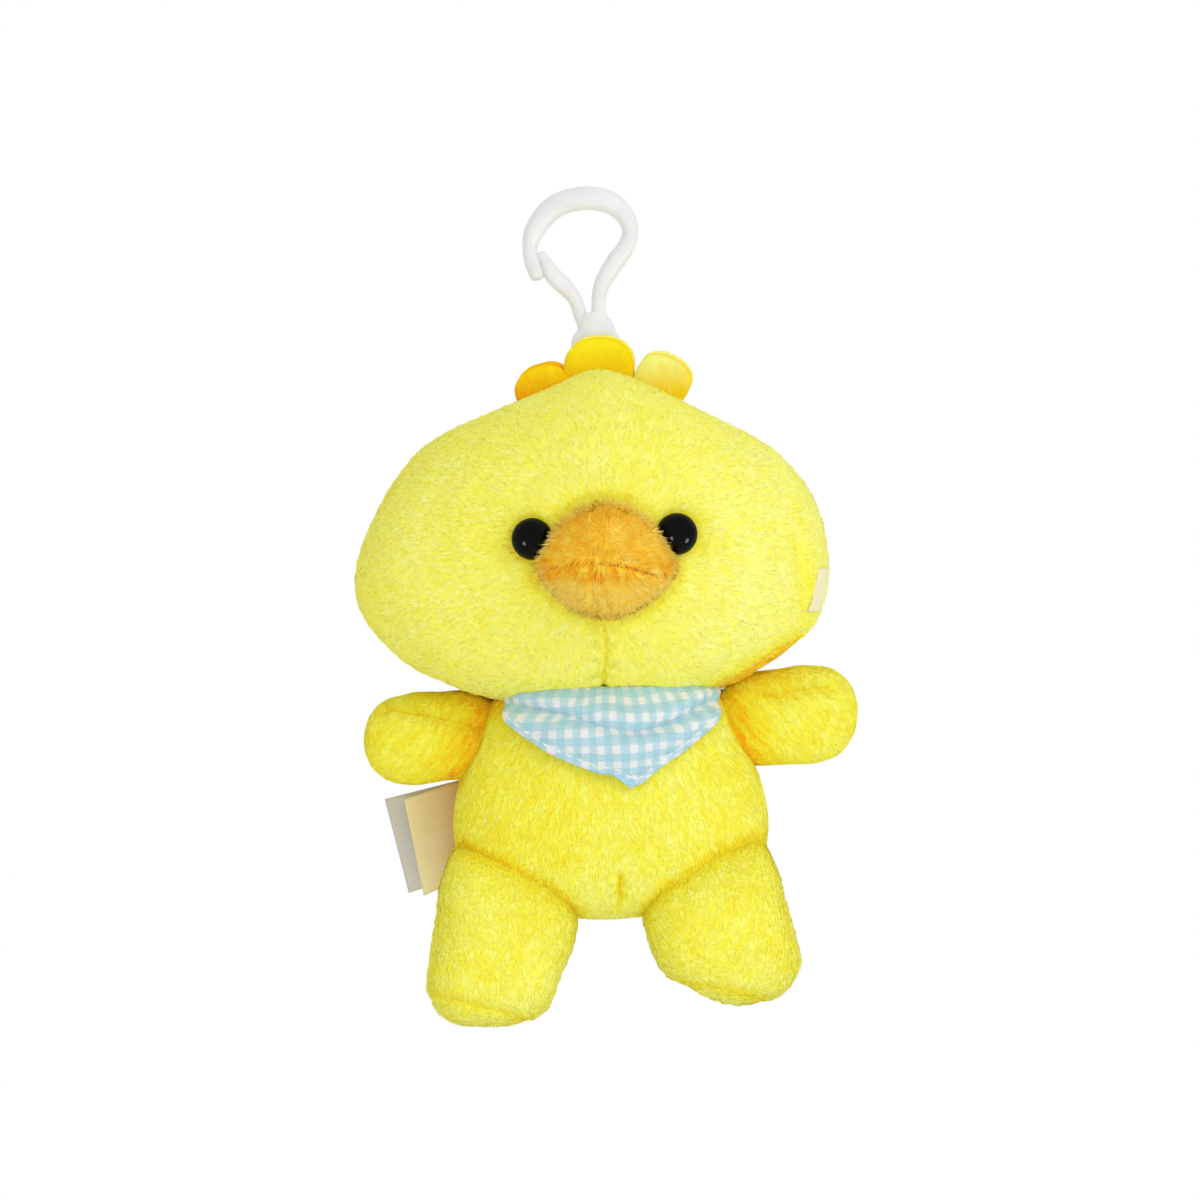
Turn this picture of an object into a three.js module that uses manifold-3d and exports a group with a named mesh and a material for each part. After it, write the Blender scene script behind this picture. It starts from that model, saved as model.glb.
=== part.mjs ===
// A plush chick keychain, 117 mm tall from its soles to the peak of its head, which
// hangs by a ribbon from a moulded plastic snap clip. Millimetres, +Z up, front
// towards -Y. The origin is the crown of the clip's loop, where a ring or strap
// carries it. Left and right are the chick's own.
import * as THREE from "three";
import { mergeVertices } from "three/addons/utils/BufferGeometryUtils.js";
import Module from "manifold-3d";

const wasm = await Module();
wasm.setup();

// Cloth and sewing
const PLUSH = 1.3; // thickness of the short-pile fabric
const SEAM = 0.3; // gap left between two panels, and between a skin and its filling
const JOINT_GAP = 0.35; // gap between a limb and the seat that it turns in
const SWEEP_STEPS = 2; // places at which a moving limb's room is cut, besides rest

// Each stuffed form: its outline's box in the front view, how far it swells to the
// front and to the back of its middle plane, and how square its section is
const HEAD = { width: 85.7, height: 60.3, x: -1.25, y: 0, front: 25, back: 32, square: 2.1 };
const BODY = { width: 57.2, height: 48.3, x: 0.5, y: 4, front: 18, back: 20, square: 2.1 };
const LEG = { width: 28.3, height: 32.6, apart: 39.5, y: 1.5, front: 16, back: 15, square: 2.6 };
const ARM = { length: 28, width: 16.6, front: 6.4, back: 6.4, square: 2.4 };
const BEAK = { width: 26.2, height: 20.8, front: 9.5, back: 6, square: 2.1 };

// Heights above the soles
const CROTCH_HEIGHT = 17.7;
const CHIN_HEIGHT = 57;

// Limbs: where each turns, how it stands at rest and how far it moves
const ARM_ROOT = 7; // radius of the round end that sits in the body
const SHOULDER_WIDTH = 46.6;
const SHOULDER_X = 1.2;
const SHOULDER_HEIGHT = 51;
const SHOULDER_Y = 5;
const ARM_LIFT = { left: { up: 1.3, tilt: 5 }, right: { up: 0, tilt: 0 } };
const ARM_DOWN = 20; // degrees
const LEG_KICK = 35; // degrees, forward about the crease in front of the hip
const HIP_CREASE_HEIGHT = 28;
const SOLE_HEIGHT = 4.6; // of the seam round the sole
const SOLE_TILT = 7; // degrees, higher in front
const BODY_SEAM_Y = 12.5; // the side seams lie behind the middle

// Face
const EYE_RADIUS = 3.7;
const EYE_DOME = 3.1;
const EYE_SPACING = 25.6;
const EYE_X = 1.2;
const EYE_ABOVE_CHIN = 29.8;
const SHANK_RADIUS = 1;
const SHANK_LENGTH = 6.5;
const WASHER_RADIUS = 3.4;
const WASHER_THICK = 1.2;
const EYE_SLOPE = 0.8; // how much deeper the sloping face lies at the washer's edge
const FACE_CLEAR = 2; // how far the cut for an eye runs out in front of the face
const BEAK_X = 1.3;
const BEAK_ABOVE_CHIN = 25.8; // its middle
const BEAK_SUNK = 1; // how far its middle plane lies behind the face
const MOUTH_ABOVE_CHIN = 24.2;
const MOUTH_TILT = -6; // degrees, lower towards the chick's left

// Crest: three petals of two layers each, sewn in just behind the peak
const CREST_PUFF = 1.3; // half a petal's thickness
const CREST_Y = 0.5;
const CREST_ROOT = 12; // how far a petal's outline runs on below the peak, into the seam
const CREST_SQUARE = 3; // how square a petal's section is
const CREST = {
  middle: { x: 1.15, width: 12.7, top: 5.6, tilt: 0 },
  right: { x: -10.4, width: 10.2, top: 0.7, tilt: 20 },
  left: { x: 14.6, width: 10.4, top: 1.4, tilt: -28 },
};

// Clip and ribbon
const CLIP_WIDTH = 18.2; // between the middles of the loop's two limbs
const CLIP_HEIGHT = 20.9; // from the trunk's top to the middle of the crown
const CLIP_X = -1.2;
const CLIP_Y = 5.2;
const CROWN_RADIUS = 2.05;
const GATE_DEPTH = 1.7; // half the gate's and the trunk's thickness front to back
const LOOP_DEPTH = 2.04; // half the loop's, where it is thickest
const ROD_DEPTH = 1.15; // a thin rod's depth as a share of its width
const NECK_X = 0.9; // the neck leans from the loop to here
const TRUNK = { halfWidth: 2.7, height: 3.2 };
const EYE_RING = { halfWidth: 3.4, halfHeight: 2.6, rod: 1, square: 3.2 };
const RIBBON = { width: 4, thick: 0.6, sewn: 5 };

// Bandana and labels
const CLOTH = 1.1; // the bandana's cotton with its hem
const CLOTH_GAP = 0.35; // between the body and the bandana
const CLOTH_TUCK = 8; // how far the bandana's outline runs on above the chin
const COWL = 2.6; // where its top edge rolls over
const BAND_HEIGHT = 3.2;
const LABEL = {
  height: 18.6,
  thick: 0.4,
  apart: 0.5,
  front: 11.5,
  back: 14.2,
  top: 42.6,
  turn: 14,
  fan: 4,
  behindSeam: 2.8,
};
const SIDE_LABEL = { height: 7.7, depth: 8, thick: 0.5, aboveChin: 19 };

// Outlines as shares of half the width and half the height, from the middle
const HEAD_OUTLINE = [
  [0.05, 1], [0.263, 0.904], [0.543, 0.69], [0.8, 0.46], [0.958, 0.144], [1, -0.22],
  [0.93, -0.569], [0.694, -0.844], [0.333, -0.987], [-0.04, -1], [-0.438, -0.95],
  [-0.764, -0.768], [-0.965, -0.453], [-1, -0.204], [-0.916, 0.161], [-0.718, 0.546],
  [-0.391, 0.778], [-0.134, 0.917],
];
const BODY_SIDE = [
  [0.315, 0.967], [0.577, 0.834], [0.734, 0.669], [0.84, 0.358], [0.951, 0.068],
  [1, -0.284], [0.955, -0.615], [0.734, -0.851], [0.385, -0.971],
];
const LEG_OUTLINE = [
  [0.548, 1], [0.018, 0.933], [-0.477, 0.712], [-0.83, 0.466], [-1, 0.153],
  [-0.943, -0.123], [-0.788, -0.393], [-0.505, -0.724], [-0.124, -0.945], [0.371, -1],
  [0.795, -0.865], [1, -0.552], [0.951, -0.184], [0.852, 0.245], [0.746, 0.706],
];
const ARM_SIDE = [[-0.86, 0.48], [-0.5, 0.843], [0, 0.95], [0.4, 1], [0.72, 0.86], [0.93, 0.5]];
const PETAL_SIDE = [[0.5, 0.94], [0.88, 0.72], [1, 0.42], [0.94, 0], [0.78, -0.5], [0.66, -0.96]];
const BEAK_OUTLINE = [
  [0.02, 1], [0.42, 0.8], [0.78, 0.3], [1, -0.22], [0.66, -0.66], [0.3, -0.93],
  [-0.08, -1], [-0.42, -0.86], [-0.76, -0.5], [-1, -0.02], [-0.72, 0.44], [-0.36, 0.82],
];
// The loop's middle line from the trunk over the crown to the hook's end, and the gate's:
// share of half the width, share of the height, half thickness
const HOOK_PATH = [
  [0.302, -0.04, 1.2], [0.319, 0.139, 1.2], [0.39, 0.258, 1.35], [0.681, 0.45, 1.6],
  [0.874, 0.56, 1.5], [0.984, 0.689, 1.35], [0.901, 0.833, 1.6], [0.593, 0.957, 1.95],
  [0.066, 1, CROWN_RADIUS], [-0.462, 0.943, 2], [-0.791, 0.813, 1.85], [-0.956, 0.689, 1.55],
  [-1.005, 0.569, 1.1], [-0.94, 0.45, 1.2], [-0.85, 0.349, 1.1],
];
const GATE_PATH = [
  [-0.055, 0.036, 1.15], [-0.154, 0.163, 1.1], [-0.341, 0.258, 1.2], [-0.527, 0.364, 1.2],
  [-0.681, 0.464, 0.95], [-0.78, 0.565, 0.55],
];
// The bib's lower edge and the line under the rolled top, in shares of half the
// shoulder width and in millimetres below the chin
const BIB_EDGE = [
  [-0.77, -1], [-0.7, 3.6], [-0.42, 8.3], [-0.1, 12], [0.16, 14.7], [0.34, 12],
  [0.62, 7.2], [0.82, 2.5], [0.84, -1],
];
const COWL_EDGE = [[-0.8, -0.5], [-0.3, 2.1], [0.16, 5.2], [0.46, 4], [0.8, 0.6]];

const HEAD_Z = CHIN_HEIGHT + HEAD.height / 2;
const BODY_Z = CROTCH_HEIGHT + BODY.height / 2;
const LEG_Z = LEG.height / 2;
const FAR = 400; // reach of a cutting block
const WELD = 1e-3;

// Solids

function solid(geometry) {
  const loose = geometry.index ? geometry.toNonIndexed() : geometry;
  const bare = new THREE.BufferGeometry();
  bare.setAttribute("position", loose.getAttribute("position"));
  const welded = mergeVertices(bare, WELD);
  const triVerts = new Uint32Array(welded.index.array);
  const vertProperties = welded.attributes.position.array;
  const made = new wasm.Manifold(new wasm.Mesh({ numProp: 3, vertProperties, triVerts }));
  if (made.volume() >= 0) return made;
  for (let i = 0; i < triVerts.length; i += 3) {
    [triVerts[i + 1], triVerts[i + 2]] = [triVerts[i + 2], triVerts[i + 1]];
  }
  return new wasm.Manifold(new wasm.Mesh({ numProp: 3, vertProperties, triVerts }));
}

function geometryOf(body) {
  const mesh = body.getMesh();
  const geometry = new THREE.BufferGeometry();
  geometry.setAttribute("position", new THREE.BufferAttribute(mesh.vertProperties, 3));
  geometry.setIndex(new THREE.BufferAttribute(mesh.triVerts, 1));
  geometry.computeVertexNormals();
  return geometry;
}

function block(low, high) {
  const size = high.map((value, i) => value - low[i]);
  const box = new THREE.BoxGeometry(...size);
  return box.translate(...high.map((value, i) => (value + low[i]) / 2));
}

const inFrontOf = (y) => solid(block([-FAR, -FAR, -FAR], [FAR, y, FAR]));
const behind = (y) => solid(block([-FAR, y, -FAR], [FAR, FAR, FAR]));

// A prism along Y of an outline given as [x, z] points
function prism(points, low, high) {
  const shape = new THREE.Shape(points.map(([x, z]) => new THREE.Vector2(x, -z)));
  const bar = new THREE.ExtrudeGeometry(shape, { depth: high - low, bevelEnabled: false });
  return solid(bar.rotateX(-Math.PI / 2).translate(0, low, 0));
}

function smoothOutline(points, count) {
  const line = points.map(([x, z]) => new THREE.Vector3(x, 0, z));
  return new THREE.CatmullRomCurve3(line, true, "centripetal").getSpacedPoints(count).slice(0, -1);
}

// A stuffed form of two panels sewn at its outline: each point of the outline is joined
// to a front and a back pole by a rounded section. grow moves the surface outwards.
function stuffed(form, grow = 0) {
  const { outline, around, across, x, y, z, front, back, square } = form;
  const rim = smoothOutline(outline, around);
  const points = [new THREE.Vector3(x, y - front, z)];
  for (let ring = 1; ring < across; ring += 1) {
    const turn = (Math.PI * ring) / across;
    const reach = Math.sin(turn) ** (2 / square);
    const rise = Math.sign(Math.cos(turn)) * Math.abs(Math.cos(turn)) ** (2 / square);
    const depth = y - rise * (rise > 0 ? front : back);
    rim.forEach((p) => points.push(new THREE.Vector3(x + reach * p.x, depth, z + reach * p.z)));
  }
  points.push(new THREE.Vector3(x, y + back, z));
  const index = [];
  const at = (ring, step) => 1 + (ring - 1) * around + (step % around);
  for (let step = 0; step < around; step += 1) {
    index.push(0, at(1, step + 1), at(1, step));
    for (let ring = 1; ring < across - 1; ring += 1) {
      index.push(at(ring, step), at(ring, step + 1), at(ring + 1, step + 1));
      index.push(at(ring, step), at(ring + 1, step + 1), at(ring + 1, step));
    }
    index.push(points.length - 1, at(across - 1, step), at(across - 1, step + 1));
  }
  const geometry = new THREE.BufferGeometry().setFromPoints(points).setIndex(index);
  if (grow === 0) return geometry;
  geometry.computeVertexNormals();
  const side = Math.sign(solidVolume(geometry));
  const place = geometry.attributes.position;
  const normal = geometry.attributes.normal;
  for (let i = 0; i < place.count; i += 1) {
    place.setXYZ(
      i,
      place.getX(i) + side * grow * normal.getX(i),
      place.getY(i) + side * grow * normal.getY(i),
      place.getZ(i) + side * grow * normal.getZ(i),
    );
  }
  return geometry;
}

function solidVolume(geometry) {
  const place = geometry.attributes.position;
  const corner = [0, 1, 2].map(() => new THREE.Vector3());
  let sum = 0;
  for (let i = 0; i < geometry.index.count; i += 3) {
    corner.forEach((c, k) => c.fromBufferAttribute(place, geometry.index.getX(i + k)));
    sum += corner[0].dot(corner[1].clone().cross(corner[2]));
  }
  return sum / 6;
}

// The first point where a ray meets a form
function meet(geometry, origin, direction) {
  const ray = new THREE.Ray(origin, direction.clone().normalize());
  const place = geometry.attributes.position;
  const corner = [0, 1, 2].map(() => new THREE.Vector3());
  let nearest = null;
  for (let i = 0; i < geometry.index.count; i += 3) {
    corner.forEach((c, k) => c.fromBufferAttribute(place, geometry.index.getX(i + k)));
    const hit = ray.intersectTriangle(...corner, false, new THREE.Vector3());
    if (hit && (!nearest || hit.distanceTo(origin) < nearest.distanceTo(origin))) nearest = hit;
  }
  return nearest;
}

function turned(geometry, pivot, axis, degrees) {
  const turn = new THREE.Matrix4().makeRotationAxis(axis, THREE.MathUtils.degToRad(degrees));
  return geometry
    .clone()
    .translate(-pivot.x, -pivot.y, -pivot.z)
    .applyMatrix4(turn)
    .translate(pivot.x, pivot.y, pivot.z);
}

// All the room that a form takes up as it turns from rest to its limit
function swept(geometry, pivot, axis, degrees, steps) {
  let room = solid(geometry);
  for (let i = 1; i <= steps; i += 1) {
    room = room.add(solid(turned(geometry, pivot, axis, (degrees * i) / steps)));
  }
  return room;
}

// A rod with a rounded section that follows points [x, z, half thickness] at one depth
function rod(path, y, depthLimit, steps, sides) {
  const line = new THREE.CatmullRomCurve3(path.map(([x, z, r]) => new THREE.Vector3(x, r, z)));
  const points = [];
  for (let i = 0; i <= steps; i += 1) {
    const centre = line.getPoint(i / steps);
    const along = line.getTangent(i / steps);
    const across = new THREE.Vector3(-along.z, 0, along.x).normalize();
    const half = centre.y;
    const depth = Math.min(depthLimit, half * ROD_DEPTH);
    for (let k = 0; k < sides; k += 1) {
      const turn = (2 * Math.PI * k) / sides;
      points.push(
        new THREE.Vector3(centre.x, y, centre.z)
          .addScaledVector(across, half * Math.cos(turn))
          .add(new THREE.Vector3(0, depth * Math.sin(turn), 0)),
      );
    }
  }
  const index = [];
  for (let i = 0; i < steps; i += 1) {
    for (let k = 0; k < sides; k += 1) {
      const next = (k + 1) % sides;
      index.push(i * sides + k, i * sides + next, (i + 1) * sides + next);
      index.push(i * sides + k, (i + 1) * sides + next, (i + 1) * sides + k);
    }
  }
  for (let k = 1; k < sides - 1; k += 1) {
    index.push(0, k + 1, k);
    index.push(steps * sides, steps * sides + k, steps * sides + k + 1);
  }
  return solid(new THREE.BufferGeometry().setFromPoints(points).setIndex(index));
}

// Forms

const inHalves = (form, shares, flip = 1) =>
  shares.map(([across, up]) => [(flip * across * form.width) / 2, (up * form.height) / 2]);

const bothSides = (side, top, bottom) => [
  ...(top ? [top] : []),
  ...side,
  ...(bottom ? [bottom] : []),
  ...side.map(([across, up]) => [-across, up]).reverse(),
];

const headForm = { ...HEAD, z: HEAD_Z, outline: inHalves(HEAD, HEAD_OUTLINE), around: 30, across: 12 };
const bodyForm = {
  ...BODY,
  z: BODY_Z,
  outline: inHalves(BODY, bothSides(BODY_SIDE, [0, 1], [0, -1])),
  around: 24,
  across: 10,
};
const beakForm = {
  ...BEAK,
  x: BEAK_X,
  z: CHIN_HEIGHT + BEAK_ABOVE_CHIN,
  outline: inHalves(BEAK, BEAK_OUTLINE),
  around: 22,
  across: 8,
};
const headSurface = stuffed(headForm);
const face = meet(
  headSurface,
  new THREE.Vector3(BEAK_X, -FAR, beakForm.z),
  new THREE.Vector3(0, 1, 0),
);
beakForm.y = face.y + BEAK_SUNK;

function legForm(side) {
  return {
    ...LEG,
    x: (side * LEG.apart) / 2,
    z: LEG_Z,
    outline: inHalves(LEG, LEG_OUTLINE, side),
    around: 18,
    across: 8,
  };
}

const armOutline = [
  [-1, 0],
  ...ARM_SIDE,
  [1, 0],
  ...ARM_SIDE.map(([along, up]) => [along, -up]).reverse(),
].map(([along, up]) => [(along * ARM.length) / 2, (up * ARM.width) / 2]);

// side: 1 for the chick's left, which is +X, and -1 for its right
function armPlace(side) {
  const { up, tilt } = side > 0 ? ARM_LIFT.left : ARM_LIFT.right;
  const x = SHOULDER_X + (side * SHOULDER_WIDTH) / 2;
  return { pivot: new THREE.Vector3(x, SHOULDER_Y, SHOULDER_HEIGHT + up), tilt };
}

function armShape(side, grow) {
  const { pivot, tilt } = armPlace(side);
  const middle = ARM.length / 2 - ARM_ROOT;
  const form = {
    ...ARM,
    x: pivot.x + side * middle,
    y: pivot.y,
    z: pivot.z,
    outline: armOutline.map(([x, z]) => [side * x, z]),
    around: 16,
    across: 8,
  };
  return turned(stuffed(form, grow), pivot, new THREE.Vector3(0, -side, 0), tilt);
}

// Hinges: a kick turns the foot forward about X, and an arm turns down about Y
const KICK = new THREE.Vector3(-1, 0, 0);
const armDown = (side) => new THREE.Vector3(0, side, 0);

function hipCrease(side) {
  const x = (side * LEG.apart) / 2;
  const front = meet(
    stuffed(legForm(side)),
    new THREE.Vector3(x, -FAR, HIP_CREASE_HEIGHT),
    new THREE.Vector3(0, 1, 0),
  );
  return new THREE.Vector3(x, front.y, HIP_CREASE_HEIGHT);
}

// Materials

const cloth = (color) => new THREE.MeshStandardMaterial({ color, roughness: 0.95, metalness: 0 });
const plastic = (color, roughness) =>
  new THREE.MeshStandardMaterial({ color, roughness, metalness: 0 });

const colours = {
  head: 0xedea59,
  body: 0xf0e048,
  limb: 0xf0df3a,
  filling: 0xf6f4ea,
  beak: 0xf2c035,
  petalFront: 0xfcc81e,
  petalBack: 0xf9ee56,
  eye: 0x0b0b0c,
  washer: 0xf4f4f0,
  clip: 0xf0f0ee,
  ribbon: 0xf5ee9a,
  bandana: 0xc9e2ee,
  labelFront: 0xd9cda4,
  labelBack: 0xdcdad2,
};

const toy = new THREE.Group();

function put(name, body, material) {
  const mesh = new THREE.Mesh(geometryOf(body), material);
  mesh.name = name;
  toy.add(mesh);
}

// Clip

const headTop = meet(headSurface, new THREE.Vector3(0, CLIP_Y, FAR), new THREE.Vector3(0, 0, -1)).z;
const BAR_Z = headTop + RIBBON.thick + 2 * SEAM + EYE_RING.rod;
const TRUNK_TOP = BAR_Z + 2 * EYE_RING.halfHeight + TRUNK.height;
const onClip = ([across, up, half]) => [
  CLIP_X + (across * CLIP_WIDTH) / 2,
  TRUNK_TOP + up * CLIP_HEIGHT,
  half,
];
const crown = onClip(HOOK_PATH.find(([, up]) => up === 1));
const HANG = new THREE.Vector3(crown[0], CLIP_Y, crown[1] - CROWN_RADIUS);

function eyeRing() {
  const { halfWidth, halfHeight, rod: radius, square } = EYE_RING;
  const steps = 24;
  const sides = 8;
  const points = [];
  const index = [];
  const bend = (value) => Math.sign(value) * Math.abs(value) ** (2 / square);
  for (let i = 0; i < steps; i += 1) {
    const turn = (2 * Math.PI * i) / steps;
    const across = Math.cos(turn);
    const up = Math.sin(turn);
    const centre = new THREE.Vector3(
      NECK_X + halfWidth * bend(across),
      CLIP_Y,
      BAR_Z + halfHeight * (1 + bend(up)),
    );
    const outward = new THREE.Vector3(
      bend(across) ** 2 * Math.sign(across) * halfHeight,
      0,
      bend(up) ** 2 * Math.sign(up) * halfWidth,
    ).normalize();
    for (let k = 0; k < sides; k += 1) {
      const roll = (2 * Math.PI * k) / sides;
      points.push(
        centre
          .clone()
          .addScaledVector(outward, radius * Math.cos(roll))
          .add(new THREE.Vector3(0, radius * Math.sin(roll), 0)),
      );
      const next = (k + 1) % sides;
      const after = (i + 1) % steps;
      index.push(i * sides + k, i * sides + next, after * sides + next);
      index.push(i * sides + k, after * sides + next, after * sides + k);
    }
  }
  return solid(new THREE.BufferGeometry().setFromPoints(points).setIndex(index));
}

function makeClip() {
  const trunkPath = [
    [NECK_X, TRUNK_TOP - TRUNK.height - EYE_RING.rod / 2, EYE_RING.halfWidth - EYE_RING.rod / 2],
    [NECK_X / 2, TRUNK_TOP - TRUNK.height / 2, TRUNK.halfWidth],
    [0, TRUNK_TOP, TRUNK.halfWidth],
  ];
  const trunk = rod(trunkPath, CLIP_Y, GATE_DEPTH, 4, 10);
  const loop = rod(HOOK_PATH.map(onClip), CLIP_Y, LOOP_DEPTH, 36, 10);
  const milky = plastic(colours.clip, 0.35);
  put("clip_hook", trunk.add(loop).add(eyeRing()), milky);
  put("clip_gate", rod(GATE_PATH.map(onClip), CLIP_Y, GATE_DEPTH, 12, 10), milky.clone());
}

// The ribbon goes up, over the eye's bar and down again, both ends in the head's seam
const RIBBON_INNER = EYE_RING.rod + SEAM;
const RIBBON_OUTER = RIBBON_INNER + RIBBON.thick;
const RIBBON_END = headTop - RIBBON.sewn;

function makeRibbon() {
  const loop = new THREE.Shape();
  loop.moveTo(RIBBON_OUTER, RIBBON_END);
  loop.lineTo(RIBBON_OUTER, BAR_Z);
  loop.absarc(0, BAR_Z, RIBBON_OUTER, 0, Math.PI, false);
  loop.lineTo(-RIBBON_OUTER, RIBBON_END);
  loop.lineTo(-RIBBON_INNER, RIBBON_END);
  loop.lineTo(-RIBBON_INNER, BAR_Z);
  loop.absarc(0, BAR_Z, RIBBON_INNER, Math.PI, 0, true);
  loop.lineTo(RIBBON_INNER, RIBBON_END);
  const band = new THREE.ExtrudeGeometry(loop, {
    depth: RIBBON.width,
    bevelEnabled: false,
    curveSegments: 8,
  });
  band.translate(0, 0, -RIBBON.width / 2).rotateX(Math.PI / 2).rotateZ(Math.PI / 2);
  put("hanging_ribbon", solid(band.translate(NECK_X, CLIP_Y, 0)), cloth(colours.ribbon));
}

const ribbonSlot = solid(
  block(
    [NECK_X - RIBBON.width / 2 - SEAM, CLIP_Y - RIBBON_OUTER - SEAM, RIBBON_END - SEAM],
    [NECK_X + RIBBON.width / 2 + SEAM, CLIP_Y + RIBBON_OUTER + SEAM, FAR],
  ),
);

// Eyes: a dome with a shank through the face, locked by a washer behind the fabric

function eyePlace(side) {
  const from = new THREE.Vector3(
    EYE_X + (side * EYE_SPACING) / 2,
    -FAR,
    CHIN_HEIGHT + EYE_ABOVE_CHIN,
  );
  return meet(headSurface, from, new THREE.Vector3(0, 1, 0));
}

function alongFace(profile, side) {
  const points = profile.map(([radius, out]) => new THREE.Vector2(radius, out));
  const lathe = new THREE.LatheGeometry(points, 18).rotateX(Math.PI);
  const place = eyePlace(side);
  return solid(lathe.translate(place.x, place.y, place.z));
}

function domeProfile(grow) {
  const steps = 6;
  const profile = [[0, -EYE_DOME / 2], [EYE_RADIUS + grow, -EYE_DOME / 2]];
  for (let i = 0; i <= steps; i += 1) {
    const turn = (Math.PI / 2) * (i / steps);
    const radius = (EYE_RADIUS + grow) * Math.cos(turn);
    profile.push([i === steps ? 0 : radius, (EYE_DOME + grow) * Math.sin(turn)]);
  }
  return profile;
}

const shankProfile = [
  [0, -SHANK_LENGTH],
  [SHANK_RADIUS, -SHANK_LENGTH],
  [SHANK_RADIUS, EYE_DOME / 2],
  [0, EYE_DOME / 2],
];

const washerFront = -PLUSH - SEAM - EYE_SLOPE;
const washerProfile = [
  [SHANK_RADIUS + SEAM / 2, washerFront],
  [WASHER_RADIUS, washerFront],
  [WASHER_RADIUS, washerFront - WASHER_THICK],
  [SHANK_RADIUS + SEAM / 2, washerFront - WASHER_THICK],
  [SHANK_RADIUS + SEAM / 2, washerFront],
];
// The round room that a shank or washer needs behind the face
const eyeRoom = (radius, side) =>
  alongFace(
    [
      [0, -SHANK_LENGTH - SEAM],
      [radius + SEAM, -SHANK_LENGTH - SEAM],
      [radius + SEAM, FACE_CLEAR],
      [0, FACE_CLEAR],
    ],
    side,
  );

// Head

function makeHead() {
  const skin = solid(headSurface).subtract(solid(stuffed(headForm, -PLUSH)));
  const plush = cloth(colours.head);
  let front = skin.intersect(inFrontOf(HEAD.y - SEAM / 2));
  let filling = solid(stuffed(headForm, -PLUSH - SEAM)).subtract(ribbonSlot);
  for (const side of [1, -1]) {
    front = front.subtract(eyeRoom(SHANK_RADIUS, side));
    filling = filling.subtract(eyeRoom(WASHER_RADIUS, side));
  }
  const back = skin.intersect(behind(HEAD.y + SEAM / 2)).subtract(ribbonSlot);
  put("head_front", front, plush);
  put("head_back", back, plush.clone());
  put("head_stuffing", filling, cloth(colours.filling));
}

const headRoom = solid(stuffed(headForm, SEAM));

function makeFace() {
  const gloss = plastic(colours.eye, 0.08);
  let eyes = null;
  for (const [name, side] of [["left", 1], ["right", -1]]) {
    const dome = alongFace(domeProfile(0), side).subtract(headRoom);
    put("eye_" + name, dome.add(alongFace(shankProfile, side)), gloss.clone());
    put("eye_washer_" + name, alongFace(washerProfile, side), plastic(colours.washer, 0.5));
    const room = alongFace(domeProfile(SEAM), side);
    eyes = eyes ? eyes.add(room) : room;
  }
  const whole = solid(stuffed(beakForm)).subtract(headRoom).subtract(eyes);
  const split = (low, high) => {
    const cut = block([-FAR, -FAR, low], [FAR, FAR, high]);
    cut.rotateY(THREE.MathUtils.degToRad(-MOUTH_TILT));
    return solid(cut.translate(BEAK_X, 0, CHIN_HEIGHT + MOUTH_ABOVE_CHIN));
  };
  const orange = cloth(colours.beak);
  put("beak_upper", whole.intersect(split(SEAM / 2, FAR)), orange);
  put("beak_lower", whole.intersect(split(-FAR, -SEAM / 2)), orange.clone());
}

// Crest

function petal({ x, width, top, tilt }, grow) {
  const height = top + CREST_ROOT;
  const z = HEAD_Z + HEAD.height / 2 + top - height / 2;
  const form = {
    x,
    y: CREST_Y + CREST_PUFF,
    z,
    front: CREST_PUFF,
    back: CREST_PUFF,
    square: CREST_SQUARE,
    outline: inHalves({ width, height }, bothSides(PETAL_SIDE, [0, 1], [0, -1])),
    around: 18,
    across: 6,
  };
  const tip = new THREE.Vector3(x, form.y, z + height / 2);
  return solid(turned(stuffed(form, grow), tip, new THREE.Vector3(0, -1, 0), tilt));
}

function makeCrest() {
  const middleRoom = petal(CREST.middle, SEAM);
  for (const [name, shape] of Object.entries(CREST)) {
    const pillow = petal(shape, 0).subtract(headRoom);
    const whole = shape === CREST.middle ? pillow : pillow.subtract(middleRoom);
    const middle = CREST_Y + CREST_PUFF;
    const front = whole.intersect(inFrontOf(middle - SEAM / 2));
    const back = whole.intersect(behind(middle + SEAM / 2));
    put("crest_" + name + "_front", front, cloth(colours.petalFront));
    put("crest_" + name + "_back", back, cloth(colours.petalBack));
  }
}

// Limbs

const legRooms = [1, -1].map((side) =>
  swept(stuffed(legForm(side), JOINT_GAP), hipCrease(side), KICK, LEG_KICK, SWEEP_STEPS),
);
const armRooms = [1, -1].map((side) => {
  const { pivot } = armPlace(side);
  return swept(armShape(side, JOINT_GAP), pivot, armDown(side), ARM_DOWN, SWEEP_STEPS);
});

function makeLegs() {
  for (const [name, side] of [["left", 1], ["right", -1]]) {
    const form = legForm(side);
    const skin = solid(stuffed(form)).subtract(solid(stuffed(form, -PLUSH)));
    const sole = (low, high) => {
      const cut = block([-FAR, -FAR, low], [FAR, FAR, high]);
      cut.rotateX(THREE.MathUtils.degToRad(-SOLE_TILT));
      return solid(cut.translate(form.x, form.y, SOLE_HEIGHT));
    };
    const upper = skin.intersect(sole(SEAM / 2, FAR));
    const plush = cloth(colours.limb);
    const leg = "leg_" + name;
    put(leg + "_front", upper.intersect(inFrontOf(form.y - SEAM / 2)), plush);
    put(leg + "_back", upper.intersect(behind(form.y + SEAM / 2)), plush.clone());
    put("sole_" + name, skin.intersect(sole(-FAR, -SEAM / 2)), plush.clone());
    put(leg + "_stuffing", solid(stuffed(form, -PLUSH - SEAM)), cloth(colours.filling));
  }
}

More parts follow.
